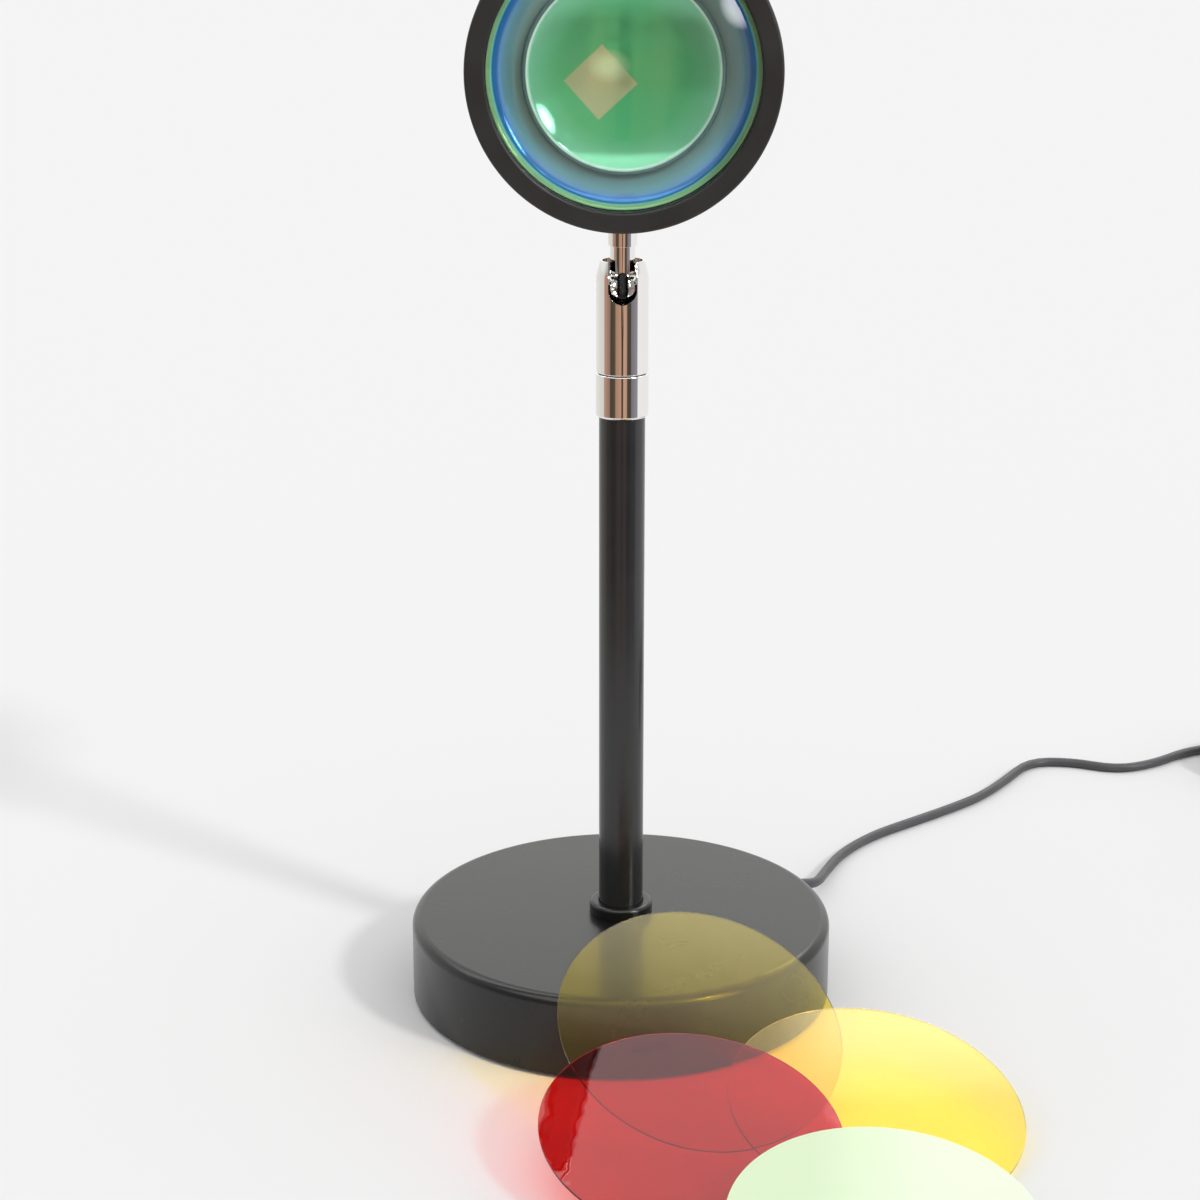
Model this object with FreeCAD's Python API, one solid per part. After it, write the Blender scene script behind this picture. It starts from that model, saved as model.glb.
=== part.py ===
import FreeCAD, Part
import math
import os

# Desk lamp that throws a round coloured light: weighted disc base, straight stem, chrome swivel
# knuckle, round head with a domed lens, four loose colour filters and a thin USB lead.
# Millimetres. Origin: centre of the base on the table. +Z up, -Y is the way the lens faces.

# ---------------------------------------------------------------- clearances
PRESSED = 0.02  # radial gap drawn between pieces that are pressed, glued or screwed together
RUNNING = 0.06  # radial gap of a shaft that turns in its bore
LOOSE = 0.25  # gap round a piece that only drops into its place
SEAM = 0.15  # gap between two edges that meet in a visible line

# ---------------------------------------------------------------- base
BASE_R = 50.0
BASE_TOP = 20.0
BASE_WALL = 1.6
BASE_ROOF = 2.0
BASE_RIM_ROUND = 2.4
BASE_LIFT = 0.8  # the shell's lower rim stands this far above the table
PAD_THICK = 1.4
PAD_INSET = 2.5
PLATE_THICK = 1.2
BALLAST_THICK = 8.0
BALLAST_POCKET_R = 10.0
BALLAST_WEB = 3.0
PLATE_SCREW_COUNT = 3
PLATE_SCREW_PCD = 76.0
PLATE_SCREW_R = 1.5
PLATE_SCREW_HEAD_R = 2.8
PLATE_SCREW_LENGTH = 6.0
PLATE_BOSS_R = 4.5

# ---------------------------------------------------------------- stem and its fixing
NIPPLE_R = 3.0
NIPPLE_BORE_R = 2.0
NIPPLE_TAIL = 0.4  # thread showing below the nut
NIPPLE_IN_STEM = 8.0
WASHER_R = 7.0
WASHER_THICK = 1.0
NUT_FLATS = 10.0
NUT_THICK = 3.0
COLLAR_R = 7.5
COLLAR_HEIGHT = 3.0
COLLAR_FLOOR = 1.0
COLLAR_BEVEL = 0.9
STEM_R = 5.25
STEM_BORE_R = 4.25
STEM_LENGTH = 120.5
STEM_END_ROUND = 0.4
INSERT_LENGTH = 10.0

# ---------------------------------------------------------------- chrome swivel
FERRULE_R = 6.0
FERRULE_HEIGHT = 10.0
FERRULE_SPIGOT = 10.0
FERRULE_ROUND = 0.8
SPINDLE_R = 3.0
SPINDLE_BORE_R = 1.8
SPINDLE_BELOW = 14.0  # how far the spindle reaches below the ferrule's top
SPINDLE_ABOVE = 8.0  # and above it
SLEEVE_R = 5.9
SLEEVE_HEIGHT = 25.4
SLEEVE_FLOOR = 3.2
SLEEVE_BORE_R = 4.5
SLEEVE_BEVEL_HEIGHT = 3.4
SLEEVE_MOUTH_R = 4.95
SEAM_BEVEL = 0.25
NOTCH_R = 3.2  # half the width of the U-shaped notch, and its round bottom
PIVOT_BELOW_MOUTH = 6.0
SPRING_WASHER_R = 4.1
SPRING_WASHER_THICK = 0.8
SPINDLE_NUT_FLATS = 7.2
SPINDLE_NUT_THICK = 3.0
STOP_PIN_R = 0.55
STOP_PIN_CIRCLE_R = 4.5
STOP_PIN_LENGTH = 2.4
STOP_PIN_BELOW = 0.9  # how far the pin reaches into the groove of the ferrule
STOP_GROOVE_DEPTH = 1.3
STOP_SWING = 165.0  # degrees each way before the pin meets the end of its groove
KNUCKLE_R = 4.2
TILT_PIN_R = 1.0
TILT_PIN_DEPTH = 1.9  # how far each stub pin reaches into the ball

# ---------------------------------------------------------------- neck
NECK_R = 2.8
NECK_BORE_R = 1.5
NECK_THREAD_R = 2.4
NECK_SHOWN = 16.7  # from the pivot up to the head's underside
NECK_RING_R = 3.25
NECK_RING_HEIGHT = 7.2
NECK_RING_BEVEL = 0.4
NECK_NUT_FLATS = 8.0
NECK_NUT_THICK = 3.0
NECK_NUT_LIFT = 0.35  # the flat nut stands on the two high lines of the round wall
NECK_THREAD_ABOVE_NUT = 1.6
HEAD_DROOP = 3.0  # degrees that the lens looks below the horizontal as photographed

# ---------------------------------------------------------------- head, measured back from the front ring's face
HEAD_R = 33.3
HEAD_DEPTH = 46.0
NECK_SHARE = 24 / 46  # of the head's depth, from its face back to the neck
RING_LENGTH = 9.8
RING_LIP = 2.2
RING_FACE_WIDTH = 4.5
RING_WALL = 1.1
RING_FACE_ROUND = 0.7
RING_OPENING_BEVEL = 0.7
LENS_RIM_THICK = 2.5
LENS_RISE = 7.5
GASKET_THICK = 0.8
GASKET_WIDTH = 3.2
COATED_GLASS_THICK = 1.1
CLIP_THICK = 0.7
CLIP_WIDTH = 2.6
CLIP_GAP = 6.0
DISH_INSET = 9.4  # from the ring's opening to the hollow of the inner lens
DISH_DEPTH = 3.6
BULGE_BEYOND_DISH = 2.6
SPIGOT_LENGTH = 2.3
SPIGOT_WALL = 1.2
BODY_WALL = 3.1
CONE_SEAT = 14.0
CONE_FLANGE = 0.8
CONE_WALL = 0.8
CONE_MOUTH_INSET = 0.8
CONE_THROAT_R = 8.0
CONE_TO_WEB = 3.0
WEB_BEHIND_NECK = 5.0
WEB_THICK = 3.0
WEB_WIRE_HOLE_R = 1.7
REAR_WALL = 4.8
FIN_COUNT = 4
FIN_GROOVE = 1.6
FIN_PITCH = 2.7
FIN_GROOVE_DEPTH = 2.2
LAST_GROOVE_FROM_END = 2.8
LED_BOARD_INSET = 2.75  # from the wires' height above the head's wall to the board's edge
LED_BOARD_THICK = 1.6
LED_SIDE = 11.0
LED_THICK = 0.8
LED_DOT_R = 4.5
LED_DOT_THICK = 0.3
BOARD_SCREW_R = 0.9
BOARD_SCREW_HEAD_R = 1.7
BOARD_SCREW_HEAD = 1.0
BOARD_SCREW_LENGTH = 2.4
LED_SCREW_FROM_EDGE = 3.0
PILLAR_COUNT = 3
PILLAR_R = 2.6
PILLAR_FROM_EDGE = 4.5
PILLAR_LENGTH = 3.0
DRIVER_BOARD_INSET = 2.25
DRIVER_BOARD_THICK = 1.4
CAPACITOR_R = 2.5
CAPACITOR_HEIGHT = 5.0
CAPACITOR_AT = (-6.0, -3.0)
COIL_BLOCK_SIDE = 7.0
COIL_BLOCK_HEIGHT = 3.5
COIL_BLOCK_AT = (5.0, 0.0)
COVER_LENGTH = 4.0
COVER_THICK = 2.0
COVER_ROUND = 3.0
COVER_POCKET_INSET = 10.8
COVER_SCREW_COUNT = 3
COVER_SCREW_INSET = 2.0
COVER_BOSS_R = 2.8
COVER_SCREW_R = 1.25
COVER_SCREW_HEAD_R = 2.4
COVER_SCREW_HEAD = 1.85  # depth of the countersunk head
COVER_SCREW_LENGTH = 8.0
VENT_COUNT = 12
VENT_WIDTH = 1.8
VENT_INNER_R = 10.0
VENT_INSET = 2.5

# ---------------------------------------------------------------- lead inside the lamp
CORD_R = 1.3
WIRE_R = 1.0
LEAD_BEND = 5.0
WIRE_BEND = 3.5
WIRE_ABOVE_THREAD = 1.0

# ---------------------------------------------------------------- where the cord leaves the base
EXIT_HEIGHT = 6.3
EXIT_ANGLE = 46.0  # degrees from +X towards +Y
GROMMET_NECK_R = 2.8
GROMMET_INNER_R = 3.5
GROMMET_INNER_THICK = 1.2
GROMMET_FLANGE_R = 4.3
GROMMET_FLANGE_EDGE = 0.9  # the flange's straight edge before it slopes into the boot
BOOT_ROOT_R = 2.7
BOOT_TIP_R = 2.1
BOOT_LENGTH = 9.5
BOOT_GROOVES = 3
BOOT_GROOVE_DEPTH = 0.45
BOOT_GROOVE_WIDTH = 0.9
BOOT_REACH = 11.0  # from the base's wall to the boot's tip

# ---------------------------------------------------------------- cord
# Free stretch over the table, chosen by eye to lie as photographed; it starts straight out of the
# boot and ends at the coil.
RUN_STRAIGHT = 5.5
RUN_ROUTE = [
    (51.0, 54.6, 4.2),
    (55.4, 66.3, 2.1),
    (60.3, 80.0, 1.35),
    (68.5, 91.5, 1.35),
    (80.5, 101.0, 1.35),
    (93.0, 112.0, 1.35),
    (105.0, 123.5, 1.35),
    (113.5, 137.0, 1.35),
    (123.5, 150.0, 1.35),
    (136.5, 150.0, 1.35),
    (149.0, 143.5, 1.35),
    (161.5, 149.0, 1.35),
    (172.0, 158.4, 1.35),
    (184.0, 162.95, 1.35),
]
COIL_X = 199.0
COIL_Y = 144.0
COIL_INNER_R = 11.2
COIL_PITCH = 3.1  # from one turn to the next, sideways and upwards
COIL_LAYER_TURNS = [2.5, 2.5, 2.5, 2.25]
COIL_START_ANGLE = 90.0
COIL_FLOOR = 1.35  # height of the cord's middle where it lies on the table
# From the coil's top turn down to the switch, then from the switch round to the plug.
LEAD_ROUTE = [(217.2, 131.5, 10.6), (216.6, 121.0, 7.9), (212.0, 110.0, 5.0), (212.0, 100.0, 5.0)]
TAIL_ROUTE = [
    (212.0, 60.0, 5.0),
    (212.0, 50.0, 5.0),
    (211.0, 39.5, 2.4),
    (203.5, 31.5, 1.35),
    (193.0, 31.5, 1.7),
    (186.0, 39.5, 4.2),
    (186.0, 49.5, 4.2),
]
ARC_SHARE = 0.45  # of the shorter run beside a corner

# ---------------------------------------------------------------- switch on the cord
SWITCH_LENGTH = 38.0
SWITCH_WIDTH = 16.0
SWITCH_HEIGHT = 11.0
SWITCH_SPLIT = 5.0
SWITCH_WALL = 1.6
SWITCH_CORNER = 5.0
SWITCH_EDGE_ROUND = 1.6
SWITCH_NECK_R = 3.0
SWITCH_NECK = 4.0
CORD_IN_NECK = 3.0  # how far a cord end reaches into the neck that grips it
SWITCH_HOLE_R = 4.9
BUTTON_R = 4.6
BUTTON_FLANGE_R = 5.6
BUTTON_FLANGE = 0.9
BUTTON_PROUD = 1.7
BUTTON_TRAVEL = 1.2
BUTTON_FOOT_R = 1.6
SWITCH_BOARD = (24.0, 10.0, 1.2)
SWITCH_BOARD_Z = 2.6
SWITCH_CELL = (7.0, 7.0, 2.2)
SWITCH_SCREW_R = 0.9
SWITCH_SCREW_HEAD_R = 1.6
SWITCH_SCREW_LENGTH = 6.5
SWITCH_POST_R = 1.9
SWITCH_POST_FROM_MIDDLE = 14.5
SWITCH_POST_ASIDE = 4.2

# ---------------------------------------------------------------- USB-A plug
PLUG_GRIP = (15.5, 24.0, 8.2)
PLUG_GRIP_ROUND = 2.0
PLUG_RELIEF_LENGTH = 7.0
PLUG_RELIEF_ROOT_R = 3.0
PLUG_RELIEF_TIP_R = 2.0
PLUG_SHELL = (12.0, 4.5)
PLUG_SHELL_OUT = 18.7
PLUG_SHELL_IN = 6.0
PLUG_SHELL_WALL = 0.35
PLUG_WINDOW = (2.0, 2.2)
PLUG_WINDOW_ASIDE = 2.9
PLUG_WINDOW_FROM_GRIP = 9.5
PLUG_TONGUE = (11.1, 1.9)
PLUG_TONGUE_SHORT = 1.0

# ---------------------------------------------------------------- loose colour filters, as they lie
FILTER_R = 32.0
FILTER_THICK = 0.5
FILTER_GAP = 0.35  # between a filter and what it lies on
FLOOR_GAP = 0.12
# The lowest filter leans on the base's rim, its centre this far aside of the line of lean.
LEAN_ASIDE = -4.3
# In the order of lying: name, the way its face tips, its centre seen from above, counted from the lowest
# one's in filter radii.
FILTERS = [
    ("filter_amber", (0.1820, -0.4532, 0.8727), (0.0, 0.0)),
    ("filter_yellow", (0.0999, -0.2213, 0.9701), (1.1503, -0.6466)),
    ("filter_red", (0.0798, -0.2059, 0.9753), (-0.0966, -1.1138)),
    ("filter_green", (0.0314, -0.1346, 0.9904), (1.0753, -1.9944)),
]
RIM_SAMPLES = 240

# ---------------------------------------------------------------- heights and places that follow
BOOT_TIP_FROM_AXIS = BASE_R + BOOT_REACH
X = FreeCAD.Vector(1, 0, 0)
Y = FreeCAD.Vector(0, 1, 0)
Z = FreeCAD.Vector(0, 0, 1)
ORIGIN = FreeCAD.Vector(0, 0, 0)

PLATE_TOP = PAD_THICK + PLATE_THICK
ROOF_UNDER = BASE_TOP - BASE_ROOF
BALLAST_BOTTOM = ROOF_UNDER - BALLAST_THICK
WEB_UNDER = ROOF_UNDER - BALLAST_WEB
NUT_TOP = WEB_UNDER - WASHER_THICK
NIPPLE_BOTTOM = NUT_TOP - NUT_THICK - NIPPLE_TAIL
BASE_INSIDE_R = BASE_R - BASE_WALL
STEM_BOTTOM = BASE_TOP + COLLAR_FLOOR
STEM_TOP = STEM_BOTTOM + STEM_LENGTH
FERRULE_TOP = STEM_TOP + FERRULE_HEIGHT
SLEEVE_BOTTOM = FERRULE_TOP + SEAM
SLEEVE_TOP = FERRULE_TOP + SLEEVE_HEIGHT
SLEEVE_FLOOR_TOP = SLEEVE_BOTTOM + SLEEVE_FLOOR
PIVOT_Z = SLEEVE_TOP - PIVOT_BELOW_MOUTH
PIVOT = FreeCAD.Vector(0, 0, PIVOT_Z)
HEAD_Z = PIVOT_Z + NECK_SHOWN + HEAD_R
HEAD_UNDER_Z = HEAD_Z - HEAD_R
NECK_FROM_FACE = HEAD_DEPTH * NECK_SHARE
FACE_Y = -NECK_FROM_FACE
EXIT_DIRECTION = FreeCAD.Vector(
    math.cos(math.radians(EXIT_ANGLE)), math.sin(math.radians(EXIT_ANGLE)), 0
)
RING_BORE_R = HEAD_R - RING_WALL
RING_OPENING_R = HEAD_R - RING_FACE_WIDTH
SPIGOT_BORE_R = RING_BORE_R - SPIGOT_WALL
BODY_BORE_R = HEAD_R - BODY_WALL
REAR_BORE_R = HEAD_R - REAR_WALL
CONE_MOUTH_R = BODY_BORE_R - CONE_MOUTH_INSET
DISH_R = RING_OPENING_R - DISH_INSET
COVER_POCKET_R = HEAD_R - COVER_POCKET_INSET
COVER_SCREW_PCD = 2 * (REAR_BORE_R - COVER_SCREW_INSET)
VENT_OUTER_R = COVER_POCKET_R - VENT_INSET
BODY_END = HEAD_DEPTH - COVER_LENGTH
WEB_FRONT = NECK_FROM_FACE + WEB_BEHIND_NECK
WEB_BACK = WEB_FRONT + WEB_THICK
CONE_THROAT = WEB_FRONT - CONE_TO_WEB
NECK_NUT_BOTTOM = HEAD_Z - BODY_BORE_R + NECK_NUT_LIFT
NECK_THREAD_TOP = NECK_NUT_BOTTOM + NECK_NUT_THICK + NECK_THREAD_ABOVE_NUT
WIRE_BELOW_AXIS = HEAD_Z - NECK_THREAD_TOP - WIRE_BEND - WIRE_ABOVE_THREAD
LED_BOARD_R = WIRE_BELOW_AXIS - LED_BOARD_INSET
LED_SCREW_PCD = 2 * (LED_BOARD_R - LED_SCREW_FROM_EDGE)
DRIVER_BOARD_R = WIRE_BELOW_AXIS - DRIVER_BOARD_INSET
PILLAR_PCD = 2 * (DRIVER_BOARD_R - PILLAR_FROM_EDGE)
LAST_GROOVE = BODY_END - LAST_GROOVE_FROM_END
SPIGOT_START = RING_LENGTH + SEAM - SPIGOT_LENGTH
STACK_R = RING_BORE_R - LOOSE / 2
LENS_BACK = RING_LIP + LENS_RIM_THICK
GASKET_BACK = LENS_BACK + GASKET_THICK
GLASS_BACK = GASKET_BACK + COATED_GLASS_THICK
CLIP_BACK = GLASS_BACK + CLIP_THICK


# ---------------------------------------------------------------- small tools
def save(name, shape):
    """Writes one node's STEP file."""
    shape.exportStep("parts/%s.step" % name)


def disc(radius, low, high, bore=0.0):
    """A round plate or ring about Z between two heights."""
    plate = Part.makeCylinder(radius, high - low, FreeCAD.Vector(0, 0, low))
    if bore:
        hole = Part.makeCylinder(bore, high - low + 2, FreeCAD.Vector(0, 0, low - 1))
        plate = plate.cut(hole)
    return plate


def turned(outline):
    """A solid of revolution about Z from (radius, height) corners given in order."""
    corners = [FreeCAD.Vector(r, 0, z) for r, z in outline]
    face = Part.Face(Part.makePolygon(corners + corners[:1]))
    return face.revolve(ORIGIN, Z, 360)


def rim(shape, radius, height):
    """The circular edges of a turned shape at this radius and height."""
    found = []
    for edge in shape.Edges:
        curve = edge.Curve
        if isinstance(curve, Part.Circle) and abs(curve.Radius - radius) < 0.01:
            if abs(curve.Center.z - height) < 0.01 and abs(curve.Axis.z) > 0.99:
                found.append(edge)
    return found


def round_rim(shape, size, radius, height):
    return shape.makeFillet(size, rim(shape, radius, height))


def bevel_rim(shape, size, radius, height):
    return shape.makeChamfer(size, rim(shape, radius, height))


def hexagon(flats, low, high):
    """A hexagonal bar about Z."""
    corner = flats / 2 / math.cos(math.radians(30))
    points = []
    for step in range(7):
        angle = math.radians(60 * step)
        points.append(FreeCAD.Vector(corner * math.cos(angle), corner * math.sin(angle), low))
    return Part.Face(Part.makePolygon(points)).extrude(FreeCAD.Vector(0, 0, high - low))


def round_circle(radius, count, first=90.0):
    """Evenly spaced points on a circle about Z."""
    points = []
    for step in range(count):
        angle = math.radians(first + 360.0 * step / count)
        points.append(FreeCAD.Vector(radius * math.cos(angle), radius * math.sin(angle), 0))
    return points


def moved(shape, place):
    copy = shape.copy()
    copy.translate(place)
    return copy


def screw(radius, length, head_radius, head):
    """A countersunk screw with its head's face at z = 0, pointing along +Z."""
    return turned(
        [(0, 0), (head_radius, 0), (head_radius, 0.3), (radius, head), (radius, length), (0, length)]
    )


def pan_screw(radius, length, head_radius, head):
    """A cheese-head screw seated at z = 0: the head below, the thread along +Z."""
    return turned([(0, -head), (head_radius, -head), (head_radius, 0), (radius, 0), (radius, length), (0, length)])


def rounded_box(width, length, low, high, corner):
    """An upright block with rounded corners, centred on the Z axis."""
    block = Part.makeBox(width, length, high - low, FreeCAD.Vector(-width / 2, -length / 2, low))
    upright = [edge for edge in block.Edges if abs(edge.tangentAt(edge.FirstParameter).z) > 0.99]
    return block.makeFillet(corner, upright)


def on_head(shape):
    """Carries a shape from the head's own axis, z back from the front face, to its place on the neck."""
    placed = shape.copy()
    placed.rotate(ORIGIN, X, -90)
    placed.translate(FreeCAD.Vector(0, FACE_Y, HEAD_Z))
    return drooped(placed)


def drooped(shape):
    """Leans a shape drawn on an upright neck by the angle that the head hangs forward."""
    placed = shape.copy()
    placed.rotate(PIVOT, X, HEAD_DROOP)
    return placed


# ---------------------------------------------------------------- base
def plate_screw_places():
    return round_circle(PLATE_SCREW_PCD / 2, PLATE_SCREW_COUNT, EXIT_ANGLE + 180.0 / PLATE_SCREW_COUNT)


def along_exit(shape):
    """Turns a shape drawn about Z, z from the base's axis, to lie along the cord's way out."""
    placed = shape.copy()
    placed.rotate(ORIGIN, Y, 90)
    placed.rotate(ORIGIN, Z, EXIT_ANGLE)
    placed.translate(FreeCAD.Vector(0, 0, EXIT_HEIGHT))
    return placed


def base_shell():
    outside = round_rim(disc(BASE_R, BASE_LIFT, BASE_TOP), BASE_RIM_ROUND, BASE_R, BASE_TOP)
    inside = disc(BASE_INSIDE_R, BASE_LIFT - 1, ROOF_UNDER)
    inside = round_rim(inside, BASE_RIM_ROUND / 2, BASE_INSIDE_R, ROOF_UNDER)
    shell = outside.cut(inside)
    shell = shell.cut(disc(NIPPLE_R + LOOSE, ROOF_UNDER - 1, BASE_TOP + 1))
    hole = Part.makeCylinder(GROMMET_NECK_R + PRESSED, 2 * BASE_WALL + 2, FreeCAD.Vector(0, 0, BASE_R - 2 * BASE_WALL))
    return shell.cut(along_exit(hole))


def base_weight():
    radius = BASE_INSIDE_R - BASE_RIM_ROUND / 2
    weight = disc(radius, BALLAST_BOTTOM, ROOF_UNDER)
    bosses = [
        moved(Part.makeCylinder(PLATE_BOSS_R, BALLAST_BOTTOM - PLATE_TOP), place + Z * PLATE_TOP)
        for place in plate_screw_places()
    ]
    weight = weight.fuse(bosses)
    weight = weight.cut(disc(BALLAST_POCKET_R, BALLAST_BOTTOM - 1, WEB_UNDER))
    weight = weight.cut(disc(NIPPLE_R + LOOSE, WEB_UNDER - 1, ROOF_UNDER + 1))
    for place in plate_screw_places():
        depth = PLATE_SCREW_LENGTH - PLATE_THICK + 1
        weight = weight.cut(Part.makeCylinder(PLATE_SCREW_R + PRESSED, depth, place + Z * PLATE_TOP))
    return weight.removeSplitter()


def base_plate():
    plate = disc(BASE_INSIDE_R - LOOSE, PAD_THICK, PLATE_TOP)
    for place in plate_screw_places():
        head = screw(PLATE_SCREW_R + PRESSED, PLATE_THICK + 1, PLATE_SCREW_HEAD_R + PRESSED, PLATE_THICK)
        plate = plate.cut(moved(head, place + Z * PAD_THICK))
    return plate


def plate_screws():
    one = screw(PLATE_SCREW_R, PLATE_SCREW_LENGTH, PLATE_SCREW_HEAD_R, PLATE_THICK)
    return Part.makeCompound([moved(one, place + Z * PAD_THICK) for place in plate_screw_places()])


def foot_pad():
    return disc(BASE_R - PAD_INSET, 0, PAD_THICK)


def cord_grommet():
    """Rubber bush through the base's wall with a ribbed, tapering boot outside."""
    wall_out = BASE_R
    inner_face = math.sqrt(BASE_INSIDE_R**2 - GROMMET_INNER_R**2)
    tip = BOOT_TIP_FROM_AXIS
    root = tip - BOOT_LENGTH
    body = turned(
        [
            (CORD_R + PRESSED, inner_face - GROMMET_INNER_THICK),
            (GROMMET_INNER_R, inner_face - GROMMET_INNER_THICK),
            (GROMMET_INNER_R, inner_face),
            (GROMMET_NECK_R, inner_face),
            (GROMMET_NECK_R, wall_out),
            (GROMMET_FLANGE_R, wall_out),
            (GROMMET_FLANGE_R, wall_out + GROMMET_FLANGE_EDGE),
            (BOOT_ROOT_R, root),
            (BOOT_TIP_R, tip),
            (CORD_R + PRESSED, tip),
        ]
    )
    pitch = BOOT_LENGTH / (BOOT_GROOVES + 1)
    for step in range(1, BOOT_GROOVES + 1):
        middle = root + pitch * step
        taper = BOOT_ROOT_R + (BOOT_TIP_R - BOOT_ROOT_R) * step / (BOOT_GROOVES + 1)
        low = middle - BOOT_GROOVE_WIDTH / 2
        body = body.cut(disc(BOOT_ROOT_R + 1, low, low + BOOT_GROOVE_WIDTH, taper - BOOT_GROOVE_DEPTH))
    return along_exit(body)


# ---------------------------------------------------------------- stem
def nipple():
    return disc(NIPPLE_R, NIPPLE_BOTTOM, STEM_BOTTOM + NIPPLE_IN_STEM, NIPPLE_BORE_R)


def base_washer():
    return disc(WASHER_R, NUT_TOP, WEB_UNDER, NIPPLE_R + LOOSE)


def base_nut():
    return hexagon(NUT_FLATS, NUT_TOP - NUT_THICK, NUT_TOP).cut(
        disc(NIPPLE_R + PRESSED, NUT_TOP - NUT_THICK - 1, NUT_TOP + 1)
    )


def stem_collar():
    collar = disc(COLLAR_R, BASE_TOP, BASE_TOP + COLLAR_HEIGHT)
    collar = bevel_rim(collar, COLLAR_BEVEL, COLLAR_R, BASE_TOP + COLLAR_HEIGHT)
    collar = collar.cut(disc(STEM_R + PRESSED, STEM_BOTTOM, BASE_TOP + COLLAR_HEIGHT + 1))
    return collar.cut(disc(NIPPLE_R + LOOSE, BASE_TOP - 1, STEM_BOTTOM + 1))


def stem_tube():
    tube = disc(STEM_R, STEM_BOTTOM, STEM_TOP, STEM_BORE_R)
    return round_rim(tube, STEM_END_ROUND, STEM_R, STEM_BOTTOM)


def stem_insert():
    return disc(STEM_BORE_R - PRESSED, STEM_BOTTOM, STEM_BOTTOM + INSERT_LENGTH, NIPPLE_R + PRESSED)


# ---------------------------------------------------------------- chrome swivel
def lower_ferrule():
    """Chrome cap on the stem, with the curved groove that stops the swivel in its top face."""
    cap = disc(FERRULE_R, STEM_TOP, FERRULE_TOP)
    cap = round_rim(cap, FERRULE_ROUND, FERRULE_R, STEM_TOP)
    cap = bevel_rim(cap, SEAM_BEVEL, FERRULE_R, FERRULE_TOP)
    spigot = disc(STEM_BORE_R - PRESSED, STEM_TOP - FERRULE_SPIGOT, STEM_TOP)
    cap = cap.fuse(spigot).cut(disc(SPINDLE_R + PRESSED, STEM_TOP - FERRULE_SPIGOT - 1, FERRULE_TOP + 1))
    pin_half_angle = math.degrees(math.asin((STOP_PIN_R + RUNNING) / STOP_PIN_CIRCLE_R))
    swing = 2 * (STOP_SWING + pin_half_angle)
    width = STOP_PIN_R + RUNNING
    floor = FERRULE_TOP - STOP_GROOVE_DEPTH
    section = Part.makePolygon(
        [
            FreeCAD.Vector(STOP_PIN_CIRCLE_R - width, 0, floor),
            FreeCAD.Vector(STOP_PIN_CIRCLE_R + width, 0, floor),
            FreeCAD.Vector(STOP_PIN_CIRCLE_R + width, 0, FERRULE_TOP + 1),
            FreeCAD.Vector(STOP_PIN_CIRCLE_R - width, 0, FERRULE_TOP + 1),
            FreeCAD.Vector(STOP_PIN_CIRCLE_R - width, 0, floor),
        ]
    )
    groove = Part.Face(section).revolve(ORIGIN, Z, swing)
    groove.rotate(ORIGIN, Z, 90 - swing / 2)
    return cap.cut(groove)


def spindle():
    return disc(SPINDLE_R, FERRULE_TOP - SPINDLE_BELOW, FERRULE_TOP + SPINDLE_ABOVE, SPINDLE_BORE_R)


def spring_washer():
    low = SLEEVE_FLOOR_TOP + PRESSED
    return disc(SPRING_WASHER_R, low, low + SPRING_WASHER_THICK, SPINDLE_R + PRESSED)


def spindle_nut():
    low = SLEEVE_FLOOR_TOP + PRESSED + SPRING_WASHER_THICK
    nut = hexagon(SPINDLE_NUT_FLATS, low, low + SPINDLE_NUT_THICK)
    return nut.cut(disc(SPINDLE_R + PRESSED, low - 1, low + SPINDLE_NUT_THICK + 1))


def swivel_sleeve():
    """Chrome sleeve that turns on the spindle, notched at the front so that the neck can fold down."""
    sleeve = turned(
        [
            (SPINDLE_R + RUNNING, SLEEVE_BOTTOM),
            (SLEEVE_R - SEAM_BEVEL, SLEEVE_BOTTOM),
            (SLEEVE_R, SLEEVE_BOTTOM + SEAM_BEVEL),
            (SLEEVE_R, SLEEVE_TOP - SLEEVE_BEVEL_HEIGHT),
            (SLEEVE_MOUTH_R, SLEEVE_TOP),
            (SLEEVE_BORE_R, SLEEVE_TOP),
            (SLEEVE_BORE_R, SLEEVE_FLOOR_TOP),
            (SPINDLE_R + RUNNING, SLEEVE_FLOOR_TOP),
        ]
    )
    slot = Part.makeCylinder(NOTCH_R, SLEEVE_R + 1, PIVOT - Y * (SLEEVE_R + 1), Y)
    height = PIVOT_BELOW_MOUTH + 1
    slot = slot.fuse(Part.makeBox(2 * NOTCH_R, SLEEVE_R + 1, height, PIVOT - Y * (SLEEVE_R + 1) - X * NOTCH_R))
    sleeve = sleeve.cut(slot)
    for side in (-1, 1):
        hole = Part.makeCylinder(TILT_PIN_R + PRESSED, SLEEVE_R + 1, PIVOT, X * side)
        sleeve = sleeve.cut(hole)
    pin_hole = Part.makeCylinder(
        STOP_PIN_R + PRESSED,
        STOP_PIN_LENGTH - STOP_PIN_BELOW + SEAM + 1,
        FreeCAD.Vector(0, STOP_PIN_CIRCLE_R, SLEEVE_BOTTOM - 1),
    )
    return sleeve.cut(pin_hole)


def stop_pin():
    return Part.makeCylinder(
        STOP_PIN_R, STOP_PIN_LENGTH, FreeCAD.Vector(0, STOP_PIN_CIRCLE_R, FERRULE_TOP - STOP_PIN_BELOW)
    )


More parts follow.
